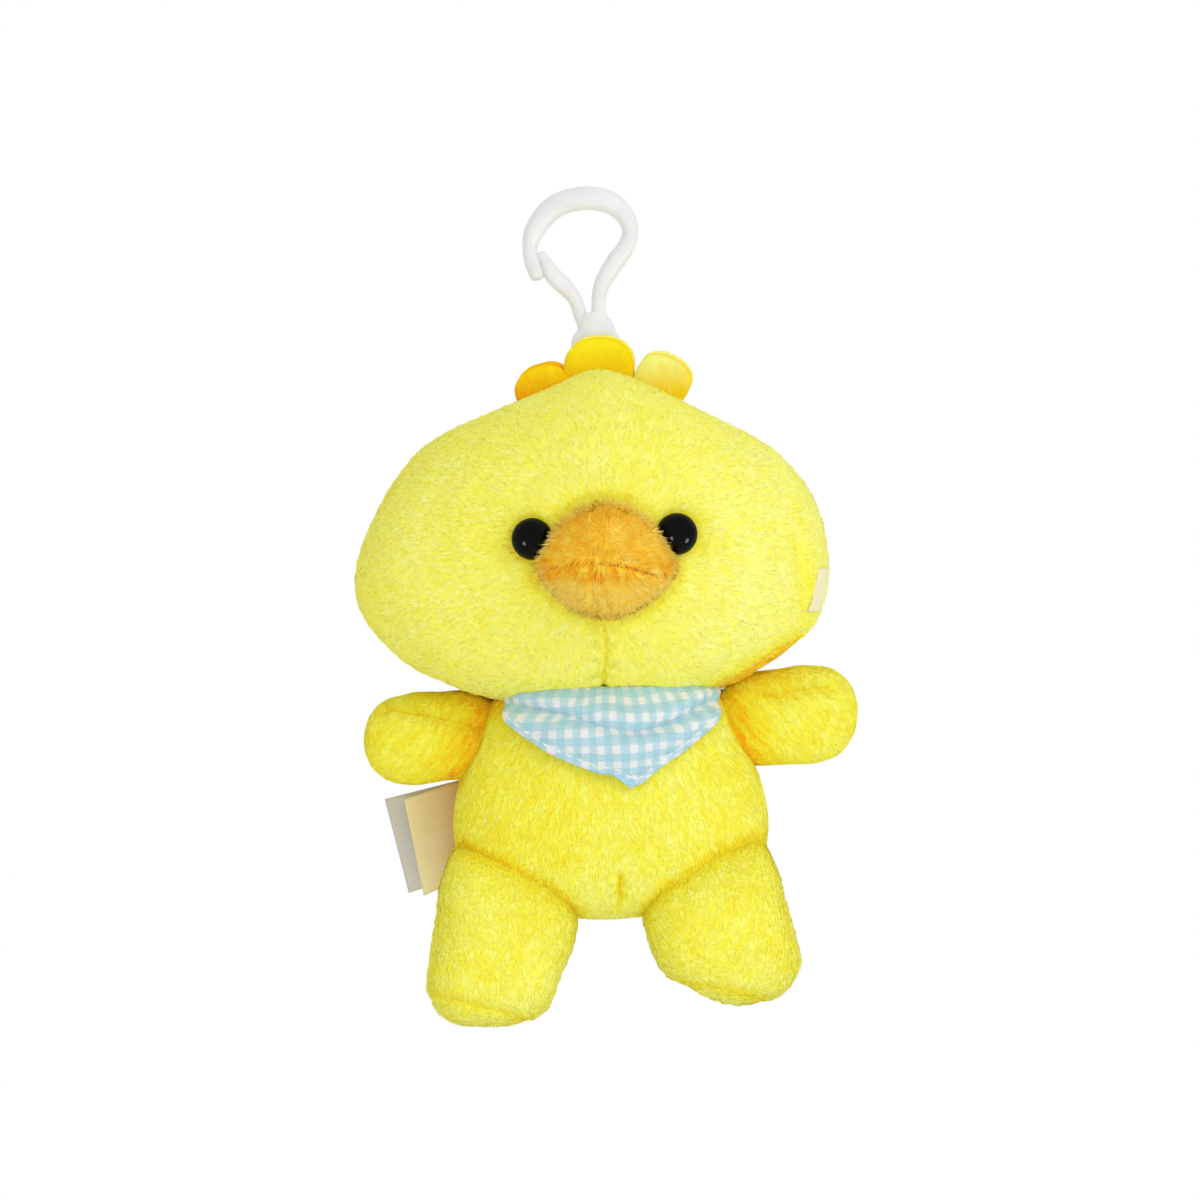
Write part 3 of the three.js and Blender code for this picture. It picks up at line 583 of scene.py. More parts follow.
class Plush:
    """A stuffed piece while it is shaped: its points, faces and the painted shade of each point,
    which is negative where light is painted.
    """

    x = property(lambda self: self.points[:, 0])
    y = property(lambda self: self.points[:, 1])
    z = property(lambda self: self.points[:, 2])
    flat = property(lambda self: self.points[:, [0, 2]])

    def __init__(self, name, form, cells, pile, tones, slot, body=None):
        self.name, self.tones, self.slot, self.body = name, tones, slot, body
        directions, self.faces = cube_ball(cells)
        self.points = on_form(form, directions)
        self.crease = np.zeros(len(self.points))
        self.swell(-pile)

    def normals(self):
        return normals_of(self.points, self.faces)

    def middles(self):
        return self.points[self.faces].mean(axis=1)

    def part(self, keep):
        """The same cloth with only some of its faces."""
        piece = copy.copy(self)
        piece.faces = self.faces[keep]
        return piece

    def facing(self, low=0.0, high=-8.0):
        """1 in front of the depth high and 0 behind low."""
        return smooth(self.y, low, high)

    def near(self, form, width):
        """1 where the cloth meets a form's surface, and less away from it."""
        return ridge(clearance(form, self.points), width)

    def beside(self, path, width):
        """1 on a path in the front view, and less away from it."""
        return ridge(along_path(self.flat, path)[0], width)

    def swell(self, amount):
        self.points = self.points + self.normals() * np.reshape(amount, (-1, 1))

    # Paints shade: each point's tone deepens to at least this much.
    def shade(self, shade_added):
        self.crease = np.maximum(self.crease, shade_added)

    def lighten(self, amount, value, low, high):
        """Paints light: takes amount off the painted shade where value is past high, and nothing
        before low; a negative amount paints shade.
        """
        self.crease = self.crease - amount * smooth(value, low, high)

    def press(self, share, depth, shade_added):
        """Sinks the cloth by depth where share is 1, and paints shade into it as into a crease."""
        self.swell(-depth * share)
        self.shade(shade_added * share)

    def seam(self, distance, travelled, depth, width, shade_added, mask=1.0):
        """A sewn line: a groove with painted shade in it, puckers beside it and a swelling on both
        sides.
        """
        pucker = 0.25 * np.sin(travelled * 2.6 + 2 * noise(self.points, 5, 3))
        self.press(ridge(distance, width) * mask, depth, shade_added)
        side = ridge(distance - 2.2 * width, 1.6 * width) * mask
        self.swell(side * depth * (0.18 + 0.6 * pucker))

    def sew(self, path, mask, depth, width, shade_added):
        """A seam along a path in the front view."""
        self.seam(*along_path(self.flat, path), depth, width, shade_added, mask)

    def wander(self, seed):
        """The slight lumps of the filling and of the nap."""
        self.swell(0.45 * noise(self.points, 16, seed) + 0.2 * noise(self.points, 6, seed + 1))
        self.swell(0.05 * noise(self.points, 2.4, seed + 2))


# Tufts: sizes in millimetres or as shares of the tuft's own
FLAT_LEAN = (88.0, 0.9)  # degrees from upright, and how much tufts differ
LOOSE_LEAN = (82.0, 2.0)
CLUMP = dict(size=2.3, lean=0.3, stray=0.16)  # neighbours lean alike
TUFT = dict(lift=0.01, uneven=0.05, fold=0.3, shortest=0.65, narrowest=0.7, spread=0.6)
# In creases tufts grow shorter and take deeper tones, which is painted shade.
IN_CREASE = dict(shorter=0.45, deeper=0.75)
STREAK = np.linspace(-1.5, 1.5, 6)  # how far along the nap a streak of one tone reaches
TONE = dict(streak=0.6, patches=(4, 11), patchy=0.06, mixed=0.06)
SPREAD_LIGHT = np.array([1, 1.9, 1])  # fibres on the sides catch light from front and back


def grow_tufts(
    plush, kind, count, seed, flow, length, width, tone, loose=0.012, streaks=0.44,
    loose_lean=LOOSE_LEAN, forward=0.0, hidden=(),
):
    """Pointed tufts of pile over a plush piece, each a thin folded blade that lies along
    the nap, with a share of loose ones that stand off. flow gives the nap's direction at
    points, streaks how much tones differ along it, and hidden the forms that cover it."""
    rng = np.random.default_rng(seed)
    quads = plush.faces
    area = quad_areas(plush.points, quads)
    middles = plush.middles()
    for form, depth in hidden:
        area = area * (clearance(form, middles) > -depth)
    chosen = rng.choice(len(quads), count, p=area / area.sum())
    u, v = rng.random((2, count, 1))
    weights = [(1 - u) * (1 - v), u * (1 - v), u * v, (1 - u) * v]

    def pick(values):
        return sum(w * values[quads[chosen, k]] for k, w in enumerate(weights))

    root = pick(plush.points)
    normal = unit(pick(plush.normals()))
    crease = pick(plush.crease[:, None])[:, 0]
    clump = np.stack([noise(root, CLUMP["size"], seed + k) for k in range(3)], axis=1)
    nap = unit(unit(flow(root)) + CLUMP["lean"] * clump)
    streak = sum(noise(root + step * nap, TONE["streak"], seed + 9) for step in STREAK)
    lie = nap + CLUMP["stray"] * rng.normal(size=(count, 3))
    lie = unit(lie - normal * np.sum(lie * normal, axis=1, keepdims=True))
    reach = length * (TUFT["shortest"] + TUFT["spread"] * rng.random(count))
    reach = reach * (1 - IN_CREASE["shorter"] * np.clip(crease, 0, 1))
    stands = rng.random(count) < loose
    lean = np.where(stands, loose_lean[0], FLAT_LEAN[0])
    differ = np.where(stands, loose_lean[1], FLAT_LEAN[1])
    slant = np.radians(lean + differ * rng.normal(size=count))
    half = (width / 2 * (TUFT["narrowest"] + TUFT["spread"] * rng.random(count)))[:, None]
    across = np.cross(normal, lie) * half
    rise = (reach * np.cos(slant))[:, None] * normal + (reach * np.sin(slant))[:, None] * lie
    root = root + normal * (TUFT["lift"] + TUFT["uneven"] * rng.random((count, 1)))
    spine = root + normal * half * TUFT["fold"]
    points = np.stack([root - across, root + across, spine, root + rise], axis=1).reshape(-1, 3)
    first = 4 * np.arange(count)[:, None, None]
    faces = (first + np.array([[0, 3, 2], [1, 2, 3]])).reshape(-1, 3)
    patch = sum(noise(root, size, seed + 7 + k) for k, size in enumerate(TONE["patches"]))
    # A tuft's tone: random patches, streaks and mix, deepened by painted shade in creases.
    depth = 1 - tone + TONE["patchy"] * patch + streaks * (streak / len(STREAK))
    depth = depth + TONE["mixed"] * rng.normal(size=count) + IN_CREASE["deeper"] * crease
    shade = np.clip((depth * len(plush.tones)).astype(int), 0, len(plush.tones) - 1)
    name = f"{plush.name}_{kind}"
    piece = add_mesh(name, points, faces, tuft_fibres(name, plush.tones), np.repeat(shade, 2))
    soft = unit(normal * SPREAD_LIGHT + 0.15 * lie - np.array([0, forward, 0]))
    piece.data.normals_split_custom_set_from_vertices(np.repeat(soft, 4, axis=0).tolist())
    return attach(piece, plush.slot, plush.body)


def make_cloth(plush, parts=("front", "back", "stuffing"), extra=()):
    """The cloth itself, which stands for its own panels and stuffing and extra nodes."""
    name = plush.name + "_plush"
    cloth = plush_cloth(name + "_cloth", plush.tones)
    piece = add_mesh(name, plush.points, plush.faces, [cloth])
    keep_values(piece, "crease", plush.crease)
    nodes = [f"{plush.name}_{part}" for part in parts]
    return attach(piece, plush.slot, plush.body, [*nodes, *extra])


# Tone ladders from pale to deep: random tone moves along them, painted shade takes the deeper tones
# and painted light the paler ones.
LEMON = [
    paint(255, 255, 148), paint(254, 252, 110), paint(254, 248, 86), paint(252, 240, 64),
    paint(253, 216, 36), paint(252, 186, 24),
]
YELLOW = [
    paint(255, 254, 122), paint(254, 248, 80), paint(253, 240, 56), paint(252, 229, 38),
    paint(254, 206, 22), paint(254, 176, 12),
]
ORANGE = [
    paint(255, 226, 108), paint(255, 217, 80), paint(254, 206, 54), paint(253, 190, 34),
    paint(253, 168, 22), paint(250, 142, 12),
]


def away_from(point, down=0.0):
    """A nap that runs outwards from a point, and downwards by a share."""
    centre = np.array(point, float)
    return lambda places: unit(places - centre) + np.array([0, 0, -down])


def combed(across, down):
    """A nap that runs one way all over."""
    return lambda places: np.array([across, 0, -down]) + 0 * places


def make_head():
    head = Plush("head", head_form, 96, 0.5, LEMON, "head_plush", "toy")
    head.wander(10)
    facing = head.facing()
    # The hollows round the eyes sink the cloth and get painted shade.
    for side in SIDES.values():
        away = np.hypot(head.x - eye_x(side), head.z - EYE["z"])
        head.press(ridge(away, 4.6) * facing, depth=0.35, shade_added=0.2)
        head.press(ridge(away - EYE["radius"], 0.8) * facing, depth=0.15, shade_added=0.5)
    x, z = head.x - BEAK["x"], head.z - BEAK["z"]
    away = np.hypot(x, z) - rim_radius(beak_form, x, z)
    head.swell(0.35 * ridge(away, 1.2) * facing)
    # Painted shade round the beak's rim.
    head.shade(0.34 * ridge(away, 1.9) * facing)
    # The chin seam, the side fold and the side seam sink the cloth and get painted shade.
    head.sew(CHIN_SEAM, head.facing(6, 0), depth=0.6, width=0.6, shade_added=0.42)
    head.press(head.beside(SIDE_FOLD, 1.8) * facing, depth=0.5, shade_added=0.35)
    turn = np.degrees(np.arctan2(head.z - HEAD["z"], head.x - HEAD["x"]))
    seam_y = HEAD["y"] - 6.5 * ridge(turn + 36, 13)  # it comes forward at the left cheek
    head.seam(np.abs(head.y - seam_y), turn * 0.6, depth=0.35, width=0.8, shade_added=0.3)
    # Painted shade on the back panel behind the side seam, low on the +X side.
    behind = head.y - seam_y
    head.shade(0.35 * smooth(behind, 0, 3) * ridge(behind, 7) * ridge(turn + 38, 20))
    # Painted shade where the head meets the arms and along the cheek's underside.
    for form in arm_forms.values():
        head.shade(0.8 * head.near(form, 3.2))
    head.press(head.beside(CHEEK_SHADE, 2.7) * head.facing(10, 2), depth=0.1, shade_added=1.0)
    # Painted light on the +X side, where the key lamp shines.
    head.lighten(0.14, head.x, 5, 36)
    make_cloth(head)
    nap = away_from((BEAK["x"], BEAK["y"] + 8, BEAK["z"]), 0.1)
    hidden = [(beak_form, 0.6), (body_form, 2.0)]
    front = head.middles()[:, 1] < 0
    piles = (("front_0", front, 21), ("front_1", front, 31), ("back_0", ~front, 22))
    for part, keep, seed in piles:
        half = head.part(keep)
        grow_tufts(half, "pile_" + part, 48000, seed, nap, 1.7, 0.25, tone=0.74, hidden=hidden)


def make_beak():
    beak = Plush("beak", beak_form, 44, 0.55, ORANGE, "beak_plush", "toy")
    beak.wander(30)
    facing = beak.facing(BEAK["y"] + 2, BEAK["y"] - 3)
    middle = smooth(np.abs(beak.x - BEAK["x"]), 12, 8)
    # The mouth, the seam and the dimple sink the cloth and get painted shade.
    beak.sew(MOUTH, facing * middle, depth=0.5, width=0.45, shade_added=0.5)
    beak.sew(BEAK_SEAM, facing, depth=0.3, width=0.6, shade_added=0.25)
    away = np.hypot(beak.x - BEAK_DIMPLE[0], beak.z - BEAK_DIMPLE[1])
    beak.press(ridge(away, 1.1) * facing, depth=0.6, shade_added=0.4)
    # Painted light on the lower beak, which faces down.
    beak.lighten(0.36, beak.z, 81.5, 77)
    make_cloth(beak, ("upper", "lower"))
    nap = away_from((BEAK["x"], BEAK["y"] - 2, BEAK["z"] + 0.5), 0.15)
    grow_tufts(
        beak, "pile", 13000, 31, nap, 2.6, 0.28, tone=0.62, loose=0.06, streaks=0.95,
        hidden=[(head_form, 1.5)],
    )
    gap = clearance(head_form, beak.middles())
    rim = beak.part((gap > -0.4) & (gap < 3.4))
    # The fringe over the rim gets a pale tone: painted light on the shaded rim.
    grow_tufts(
        rim, "fringe", 2600, 35, nap, 1.8, 0.24, tone=0.88, loose=1.0, loose_lean=(64.0, 9.0),
        forward=2.4,
    )


def make_body():
    body = Plush("body", body_form, 66, 0.5, YELLOW, "body_plush", "toy")
    body.wander(40)
    # The dart, the side seam and the joins with the limbs and head get painted shade.
    body.sew(BELLY_DART, body.facing(), depth=0.7, width=0.6, shade_added=0.7)
    body.seam(np.abs(body.y - BODY_SEAM_Y), body.z, depth=0.6, width=0.8, shade_added=0.5)
    limbs = [*leg_forms.values(), *arm_forms.values()]
    for form in limbs:
        body.press(body.near(form, 1.2), depth=0.1, shade_added=0.5)
    body.shade(0.5 * body.near(head_form, 4))
    # Painted light on the lower body, and painted shade on the -X side, away from the key lamp.
    body.lighten(0.14, body.z, 33, 22)
    body.lighten(-0.13, body.x, 5, -18)
    make_cloth(body)
    nap = away_from((BODY["x"], 0, BODY["z"] + 14), 0.4)
    hidden = [(form, 1.5) for form in (head_form, *limbs)]
    grow_tufts(body, "pile", 48000, 41, nap, 1.6, 0.25, tone=0.76, hidden=hidden)


ARM_RAISED = 0.8  # the filled arms press up against the head
ARM_HANGS = {"right": 0.0, "left": 1.0}  # how far the filling sags along the lower edge


def make_arm(name, side):
    limb = "arm_" + name
    form = arm_forms[name]
    arm = Plush(limb, form, 40, 0.2, YELLOW, "limb_plush", limb)
    arm.points[:, 2] += ARM_RAISED
    arm.points[:, 2] -= ARM_HANGS[name] * smooth(form["centre"][2] - arm.z, 1, 7)
    arm.wander(50 + side)
    facing = arm.facing(ARM["y"], ARM["y"] - 3)
    # The seam and the joins with the body and head get painted shade.
    arm.sew(ARM_SEAMS[name], facing, depth=0.5, width=0.6, shade_added=0.45)
    arm.swell(arm.near(head_form, 2.5))
    arm.shade(0.55 * arm.near(body_form, 5))
    arm.shade(0.4 * arm.near(head_form, 4))
    make_cloth(arm)
    # The +X arm, on the key lamp's side, gets a paler tone and the other a deeper one: painted
    # light and shade.
    grow_tufts(
        arm, "pile", 14000, 53 + side, combed(0.6 * side, 0.8), 1.5, 0.24,
        tone=0.7 + 0.06 * side, hidden=[(body_form, 1.5), (head_form, 1.5)],
    )


def make_leg(name, side):
    limb = "leg_" + name
    centre = leg_forms[name]["centre"]
    leg = Plush(limb, leg_forms[name], 52, 0.5, YELLOW, "limb_plush")
    leg.wander(60 + side)
    leg.points[:, 2] += FOOT_SHIFT[name] * smooth(leg.z, 22, 3)
    corner = np.linalg.norm(leg.flat - FOOT_CORNER[name], axis=1)
    leg.swell(1.8 * ridge(corner, 5))
    sole = SOLE_SEAMS[name]
    x, y, z = leg.points.T
    line = sole["height"] + sole["slope"] * (x - centre[0])
    line = line - SOLE_FALL["slope"] * (y - SOLE_FALL["toe"])
    # The sole and side seams and the join with the body get painted shade.
    leg.seam(np.abs(z - line), x, depth=0.28, width=0.6, shade_added=0.4)
    leg.seam(np.abs(y - LEG["y"]), z, depth=0.3, width=0.7, shade_added=0.25)
    leg.shade(0.3 * leg.near(body_form, 2.4))
    # Painted light on the lower leg and foot.
    leg.lighten(0.12, leg.z, 14, 5)
    cloth = make_cloth(leg, extra=["sole_" + name])
    nap = away_from(centre + np.array([0, 6, 6]), 0.2)
    hidden = [(body_form, 1.5)]
    pile = grow_tufts(leg, "pile", 28000, 63 + side, nap, 1.6, 0.25, tone=0.77, hidden=hidden)
    for item in (cloth, pile):
        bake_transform(item)


make_head()
make_beak()
make_body()
for limb_name, limb_side in SIDES.items():
    make_arm(limb_name, limb_side)
    make_leg(limb_name, limb_side)


# Face: domed safety eyes and the mouth's stitches

EYE_SPOKES = 56


def make_eyes():
    gloss = Nodes("eye_gloss", 0.09, Specular_IOR_Level=0.07)
    gloss.mottle(0.8, paint(3, 3, 4), paint(7, 7, 8), high=0.8)
    turn = np.linspace(0, math.pi / 2, 16)
    radii = np.concatenate([[0, EYE["radius"] * 0.9], EYE["radius"] * np.cos(turn)])[:, None]
    radii[[0, -1]] = 0.01  # both ends close almost to a point
    heights = np.concatenate([[-EYE["sunk"]] * 2, EYE["dome"] * np.sin(turn)])[:, None]
    around = np.arange(EYE_SPOKES) * 2 * math.pi / EYE_SPOKES
    aside = radii * np.cos(around)
    up = EYE["z"] + radii * np.sin(around)
    for name, side in SIDES.items():
        x = eye_x(side)
        y = front_of(head_form, x, EYE["z"])
        lean = side * math.radians(EYE["tilt"])
        across = x + aside * math.cos(lean) - heights * math.sin(lean)
        depth = y - aside * math.sin(lean) - heights * math.cos(lean)
        points = stacked(across, depth, up)
        faces = grid_faces(len(radii), len(around), wrap=True)
        eye = add_mesh(f"eye_{name}_dome", points, faces, [gloss.material])
        attach(eye, "eye", "toy", ["eye_" + name])


STITCH_STEPS = 9
STITCH_CORNERS = 8


def stitch_run(name, line, normals, every, length, radius, material, slot, body):
    """Thread stitches along a line: short bowed rods that dip in at both ends."""
    steps = np.linalg.norm(np.diff(line, axis=0), axis=1)
    travelled = np.concatenate([[0], np.cumsum(steps)])
    bow = np.sin(np.linspace(0, math.pi, STITCH_STEPS))[:, None]
    thick = radius * np.maximum(np.sqrt(bow), 0.15)

    def at(spots, table):
        return np.stack([np.interp(spots, travelled, column) for column in table.T], axis=1)

    parts = []
    for begin in np.arange(every * 0.3, travelled[-1] - length, every):
        spots = begin + np.linspace(0, length, STITCH_STEPS)
        up = unit(at(spots, normals))
        centres = at(spots, line) + up * (bow - 0.6) * radius * 1.4
        along = unit(np.gradient(centres, axis=0))
        sides = unit(np.cross(along, up)) * thick
        parts.append(tube(centres, sides, up * thick, STITCH_CORNERS))
    return attach(add_mesh(name, *together(parts), [material]), slot, body)


def thread(name, light, dark):
    made = Nodes(name, 0.7, Sheen_Weight=0.2)
    made.mottle(0.3, dark, light)
    made.bump(made.noise(0.12, stretch=(1, 1, 3)), 0.05)
    return made.material


def line_on(form, path, out):
    """A line on the form's front that follows a path in the front view, and its normals."""
    start = at_depth(curve(path, 12, closed=False), form["centre"][1])
    points = hit(form, start, FORWARD, out)
    return points, unit(points - form["centre"])


make_eyes()
mouth_line, mouth_normals = line_on(beak_form, MOUTH[1:-1], -0.8)
stitch_run(
    "mouth_stitches", mouth_line, mouth_normals, every=1.9, length=1.2, radius=0.11,
    material=thread("mouth_thread", paint(196, 110, 26), paint(140, 70, 16)),
    slot="beak_plush", body="toy",
)
seam_thread = thread("seam_thread", paint(240, 196, 30), paint(206, 150, 14))
for limb_name in SIDES:
    seam_line, seam_normals = line_on(arm_forms[limb_name], ARM_SEAMS[limb_name], -0.55)
    stitch_run(
        f"arm_{limb_name}_stitches", seam_line, seam_normals, every=2.4, length=1.2,
        radius=0.12, material=seam_thread, slot="limb_plush", body="arm_" + limb_name,
    )


# Crest: three petals, each of a golden front and a pale back sewn together

def petal_cloth(name, top, bottom, peak):
    """Velvet that goes from bottom to top in height and deepens with painted shade at the sewn rim.
    """
    made = Nodes(name, 0.8, Sheen_Weight=0.2, Sheen_Tint=top, Specular_IOR_Level=0.1)
    low, high = ((peak - below - ORIGIN[2]) * MM for below in PETAL_TONES)
    height = made.share(made.axes(made.place())["Z"], low, high)
    mottled = made.drift(0.8, 0.8, stretch=(1, 1, 0.5))
    # Painted shade at the sewn rim, over random mottling.
    rim_shade_mottle = made.work_out("MULTIPLY_ADD", made.value("rim"), -0.7, mottled)
    made.colour(made.work_out("ADD", height, rim_shade_mottle), [(0, bottom), (1, top)])
    made.bump(made.noise(0.3, 3), 0.12)
    return made.material


# For the front and the back, the tones at the top and at the root
PETAL_COLOURS = {
    "middle": [((255, 240, 24), (255, 208, 8)), ((254, 250, 120), (252, 236, 70))],
    # The right petal is painted deeper orange front and back, as shade; the left petal's front is
    # pale.
    "right": [((255, 222, 14), (254, 160, 2)), ((254, 220, 40), (248, 160, 4))],
    "left": [((248, 246, 128), (255, 214, 20)), ((252, 250, 156), (250, 236, 80))],
}
PETAL_BACK = np.array([0.5, 0, 0.8])  # the pale back shows past the front's edge
PETAL_DOWN = np.array([0, 0, 0.25])
PETAL_JOIN = 0.1  # depth of the sewn rim
PETAL_TONES = (6.5, 0.5)  # the colour changes between these depths below the peak


def petal_points(shape, form, directions, faces):
    points = on_form(form, directions)
    local = points[:, 1] - form["y"]
    groove = 0.45 * ridge(local - PETAL_JOIN, 0.3)
    points = points - normals_of(points, faces) * groove[:, None]
    points[:, 1] += 0.35 * np.sin((points[:, 0] - shape["x"]) * 0.55 + shape["x"])
    points = points + smooth(local, -0.15, 0.35)[:, None] * PETAL_BACK - PETAL_DOWN
    lumps = 0.12 * noise(points, 2.2, 71)
    return points + normals_of(points, faces) * lumps[:, None], local


def make_petal(name, shape):
    height = shape["top"] + CREST["root"]
    peak = HEAD["z"] + HEAD["height"] / 2 + shape["top"]
    size = dict(
        width=shape["width"], height=height, x=shape["x"], y=CREST["y"] + CREST["puff"],
        z=peak - height / 2, front=CREST["puff"], back=CREST["puff"], square=3.0,
    )
    form = make_form(size, both_sides(PETAL_SIDE), 1, (shape["x"], size["y"], peak), shape["tilt"])
    directions, faces = cube_ball(34)
    points, local = petal_points(shape, form, directions, faces)
    in_front = local[faces].mean(axis=1) < PETAL_JOIN
    halves = (("front", in_front), ("back", ~in_front))
    for (part, keep), (top, bottom) in zip(halves, PETAL_COLOURS[name]):
        node = f"crest_{name}_{part}"
        used, index = np.unique(faces[keep], return_inverse=True)
        cloth = petal_cloth(node + "_velvet", paint(*top), paint(*bottom), peak)
        piece = add_mesh(node + "_petal", points[used], index.reshape(-1, 4), [cloth])
        keep_values(piece, "rim", ridge(local[used], 0.45))
        attach(piece, "crest_" + part, "toy", [node])


for petal_name, petal_shape in PETALS.items():
    make_petal(petal_name, petal_shape)


# Bandana

BAND = dict(
    low=55.7, low_in_front=58.8, tucked=1.2, out=0.8, columns=361, rows=34, cloth=0.4,
    radius=20.5, halvings=24,
)
NECK = (50.0, 65.0)  # the cloth's top lies between these heights
CHECK = dict(X=3.0, Y=2.8)  # the gingham's pitch round the neck and upwards


def heights_by_angle(angle, path, **beyond):
    """The heights of a path in the front view at angles round the neck."""
    flat = curve(path, 8, closed=False)
    points = hit(body_form, at_depth(flat, BODY["y"] + 2), FORWARD, BAND["out"])
    turn = np.arctan2(points[:, 0] - BODY["x"], BODY["y"] - points[:, 1])
    order = np.argsort(turn)
    return np.interp(angle, turn[order], flat[order, 1], **beyond)


def round_neck(angle, height, out):
    """Points that stand out from the body at angles round the neck."""
    start = stacked(BODY["x"], BODY["y"], height)
    direction = stacked(np.sin(angle), -np.cos(angle), 0)
    return hit(body_form, start, direction, out.reshape(-1))


def height_under_head(angle):
    """The height at which a cloth round the neck has gone a little way into the head."""
    out = np.full(angle.shape, BAND["out"])
    low, high = (np.full(angle.shape, height) for height in NECK)
    for _ in range(BAND["halvings"]):
        middle = (low + high) / 2
        inside = clearance(head_form, round_neck(angle, middle, out)) < -BAND["tucked"]
        low = np.where(inside, low, middle)
        high = np.where(inside, middle, high)
    return high


def gingham():
    made = Nodes("gingham", 0.8, Sheen_Weight=0.15)
    weave = made.axes(made.value("weave", "Vector"))
    bands = []
    for axis, pitch in CHECK.items():
        phase = made.work_out("FRACT", made.work_out("DIVIDE", weave[axis], pitch))
        from_middle = made.work_out("ABSOLUTE", made.work_out("SUBTRACT", phase, 0.5))
        bands.append(made.share(from_middle, 0.18, 0.3))
    both = made.work_out("MULTIPLY", made.work_out("ADD", *bands), 0.5)
    stops = [
        (0.0, paint(238, 238, 240)), (0.12, paint(230, 235, 240)),
        (0.45, paint(192, 222, 232)), (1.0, paint(168, 212, 226)),
    ]
    made.colour(made.work_out("ADD", both, made.drift(0.5, 0.16)), stops)
    made.threads("weave", 1.1, 0.06, distortion=1.5)
    return made.material


def cowl(turn, height, edge, fold):
    """How far the cloth stands out: it dips into the fold, rolls out under it, lies in
    again towards the point and ends in a doubled hem."""
    in_front = smooth(np.abs(turn - 0.05), 1.3, 0.9)
    over = smooth(height - fold, 0.3, 2.6)
    under = smooth(fold - height, 0.3, 1.7) * (1 - 0.75 * smooth(fold - height, 1.8, 6))
    slack = np.sin(turn * 7 + 1.2 * np.sin(height * 0.7)) * smooth(fold - height, 0.5, 3)
    hem = smooth(height - edge, 1.7, 1.4)
    rough = np.stack([turn * 20, height, 0 * turn], axis=-1)
    crumple = 0.26 * noise(rough, (3.2, 6, 1), 81) + 0.12 * noise(rough, (1.4, 2.0, 1), 82)
    lift = 1.7 * over + 1.15 * under - 0.35 * ridge(height - fold, 0.7) + 0.2 * slack
    return 0.75 + in_front * lift + 0.3 * hem + crumple


def bandana_lines():
    """Angles round the neck, with the heights there of the cloth's edge, fold and top."""
    angle = np.linspace(-math.pi, math.pi, BAND["columns"])
    rise = BAND["low_in_front"] - BAND["low"]
    low = BAND["low"] + rise * smooth(np.abs(angle), 2.3, 1.6)
    edge = np.minimum(heights_by_angle(angle, BIB_EDGE, left=99, right=99), low)
    fold = heights_by_angle(angle, COWL_FOLD)
    return angle, edge, fold, np.maximum(height_under_head(angle), edge + 0.6)


def hem_stitches(angle, edge, fold):
    front = np.abs(angle) < 1.1
    angle, edge, fold = angle[front], edge[front], fold[front]
    row = edge + 1.25
    sewn = round_neck(angle, row, cowl(angle, row, edge, fold) + BAND["cloth"])
    return stitch_run(
        "bandana_stitches", sewn, unit(sewn - body_form["centre"]), every=2.3, length=1.6,
        radius=0.2, material=thread("bandana_thread", paint(246, 250, 252), paint(214, 228, 236)),
        slot="bandana", body="toy",
    )


def curled_corner():
    """The bib's corner, rolled up so that the cloth's wrong side shows."""
    tip = curve(CURLED_TIP, 8, closed=False)
    centres = hit(body_form, at_depth(tip, BODY["y"]), FORWARD, 1.5)
    across = np.array([[0.5, 0.0, 0.86]]) * np.linspace(0.35, 0.95, len(tip))[:, None]
    ups = FORWARD * np.linspace(0.3, 0.75, len(tip))[:, None]
    inside = Nodes("bandana_wrong_side", 0.8, Sheen_Weight=0.15)
    inside.mottle(0.9, paint(150, 204, 228), paint(200, 228, 240), 0.35, 0.65)
    curl = add_mesh("bandana_curl", *tube(centres, across, ups, 12), [inside.material])
    return attach(curl, "bandana", "toy")


def weave_places(turn, height):
    """Where the cloth's points lie in its own weave, which is pulled out of line a little."""
    place = np.stack([turn * BAND["radius"], height, 0 * turn], axis=-1)
    across = 0.45 * noise(place, 6, 83)
    up = 0.45 * noise(place, 6, 84) - 0.96 * turn**2
    return (place + np.stack([across, up, 0 * turn], axis=-1)).reshape(-1, 3)


def make_bandana():
    angle, edge, fold, top = bandana_lines()
    height = edge + (top - edge) * np.linspace(0, 1, BAND["rows"])[:, None]
    turn = angle + 0 * height
    points = round_neck(turn, height, cowl(turn, height, edge, fold))
    keep = np.arange(len(points)).reshape(height.shape)[:, :-1].ravel()
    points = points[keep]
    faces = grid_faces(BAND["rows"], BAND["columns"] - 1, wrap=True)
    cloth = add_mesh("bandana_cloth", points, faces, [gingham()])
    keep_values(cloth, "weave", weave_places(turn, height)[keep])
    thicken(cloth, BAND["cloth"], 1)
    attach(cloth, "bandana", "toy", ["bandana"])
    trims = [hem_stitches(angle, edge, fold), curled_corner()]
    table = points.reshape(BAND["rows"], -1, 3)
    along, down = (
        np.linalg.norm(np.diff(table, axis=way), axis=2).sum(axis=way).max() for way in (1, 0)
    )
    quad_areas(points, faces).sum() * MM * MM


make_bandana()


# Labels

def label_cloth(name, near, far):
    """Satin tape: its colour goes from near at the seam to far at the free edge."""
    made = Nodes(name, 0.55, Sheen_Weight=0.1)
    across = made.axes(made.value("leaf", "Vector"))["X"]
    made.colour(made.work_out("ADD", across, made.drift(5, 0.2)), [(0.1, near), (0.9, far)])
    made.threads("leaf", 16, 0.03)
    return made.material


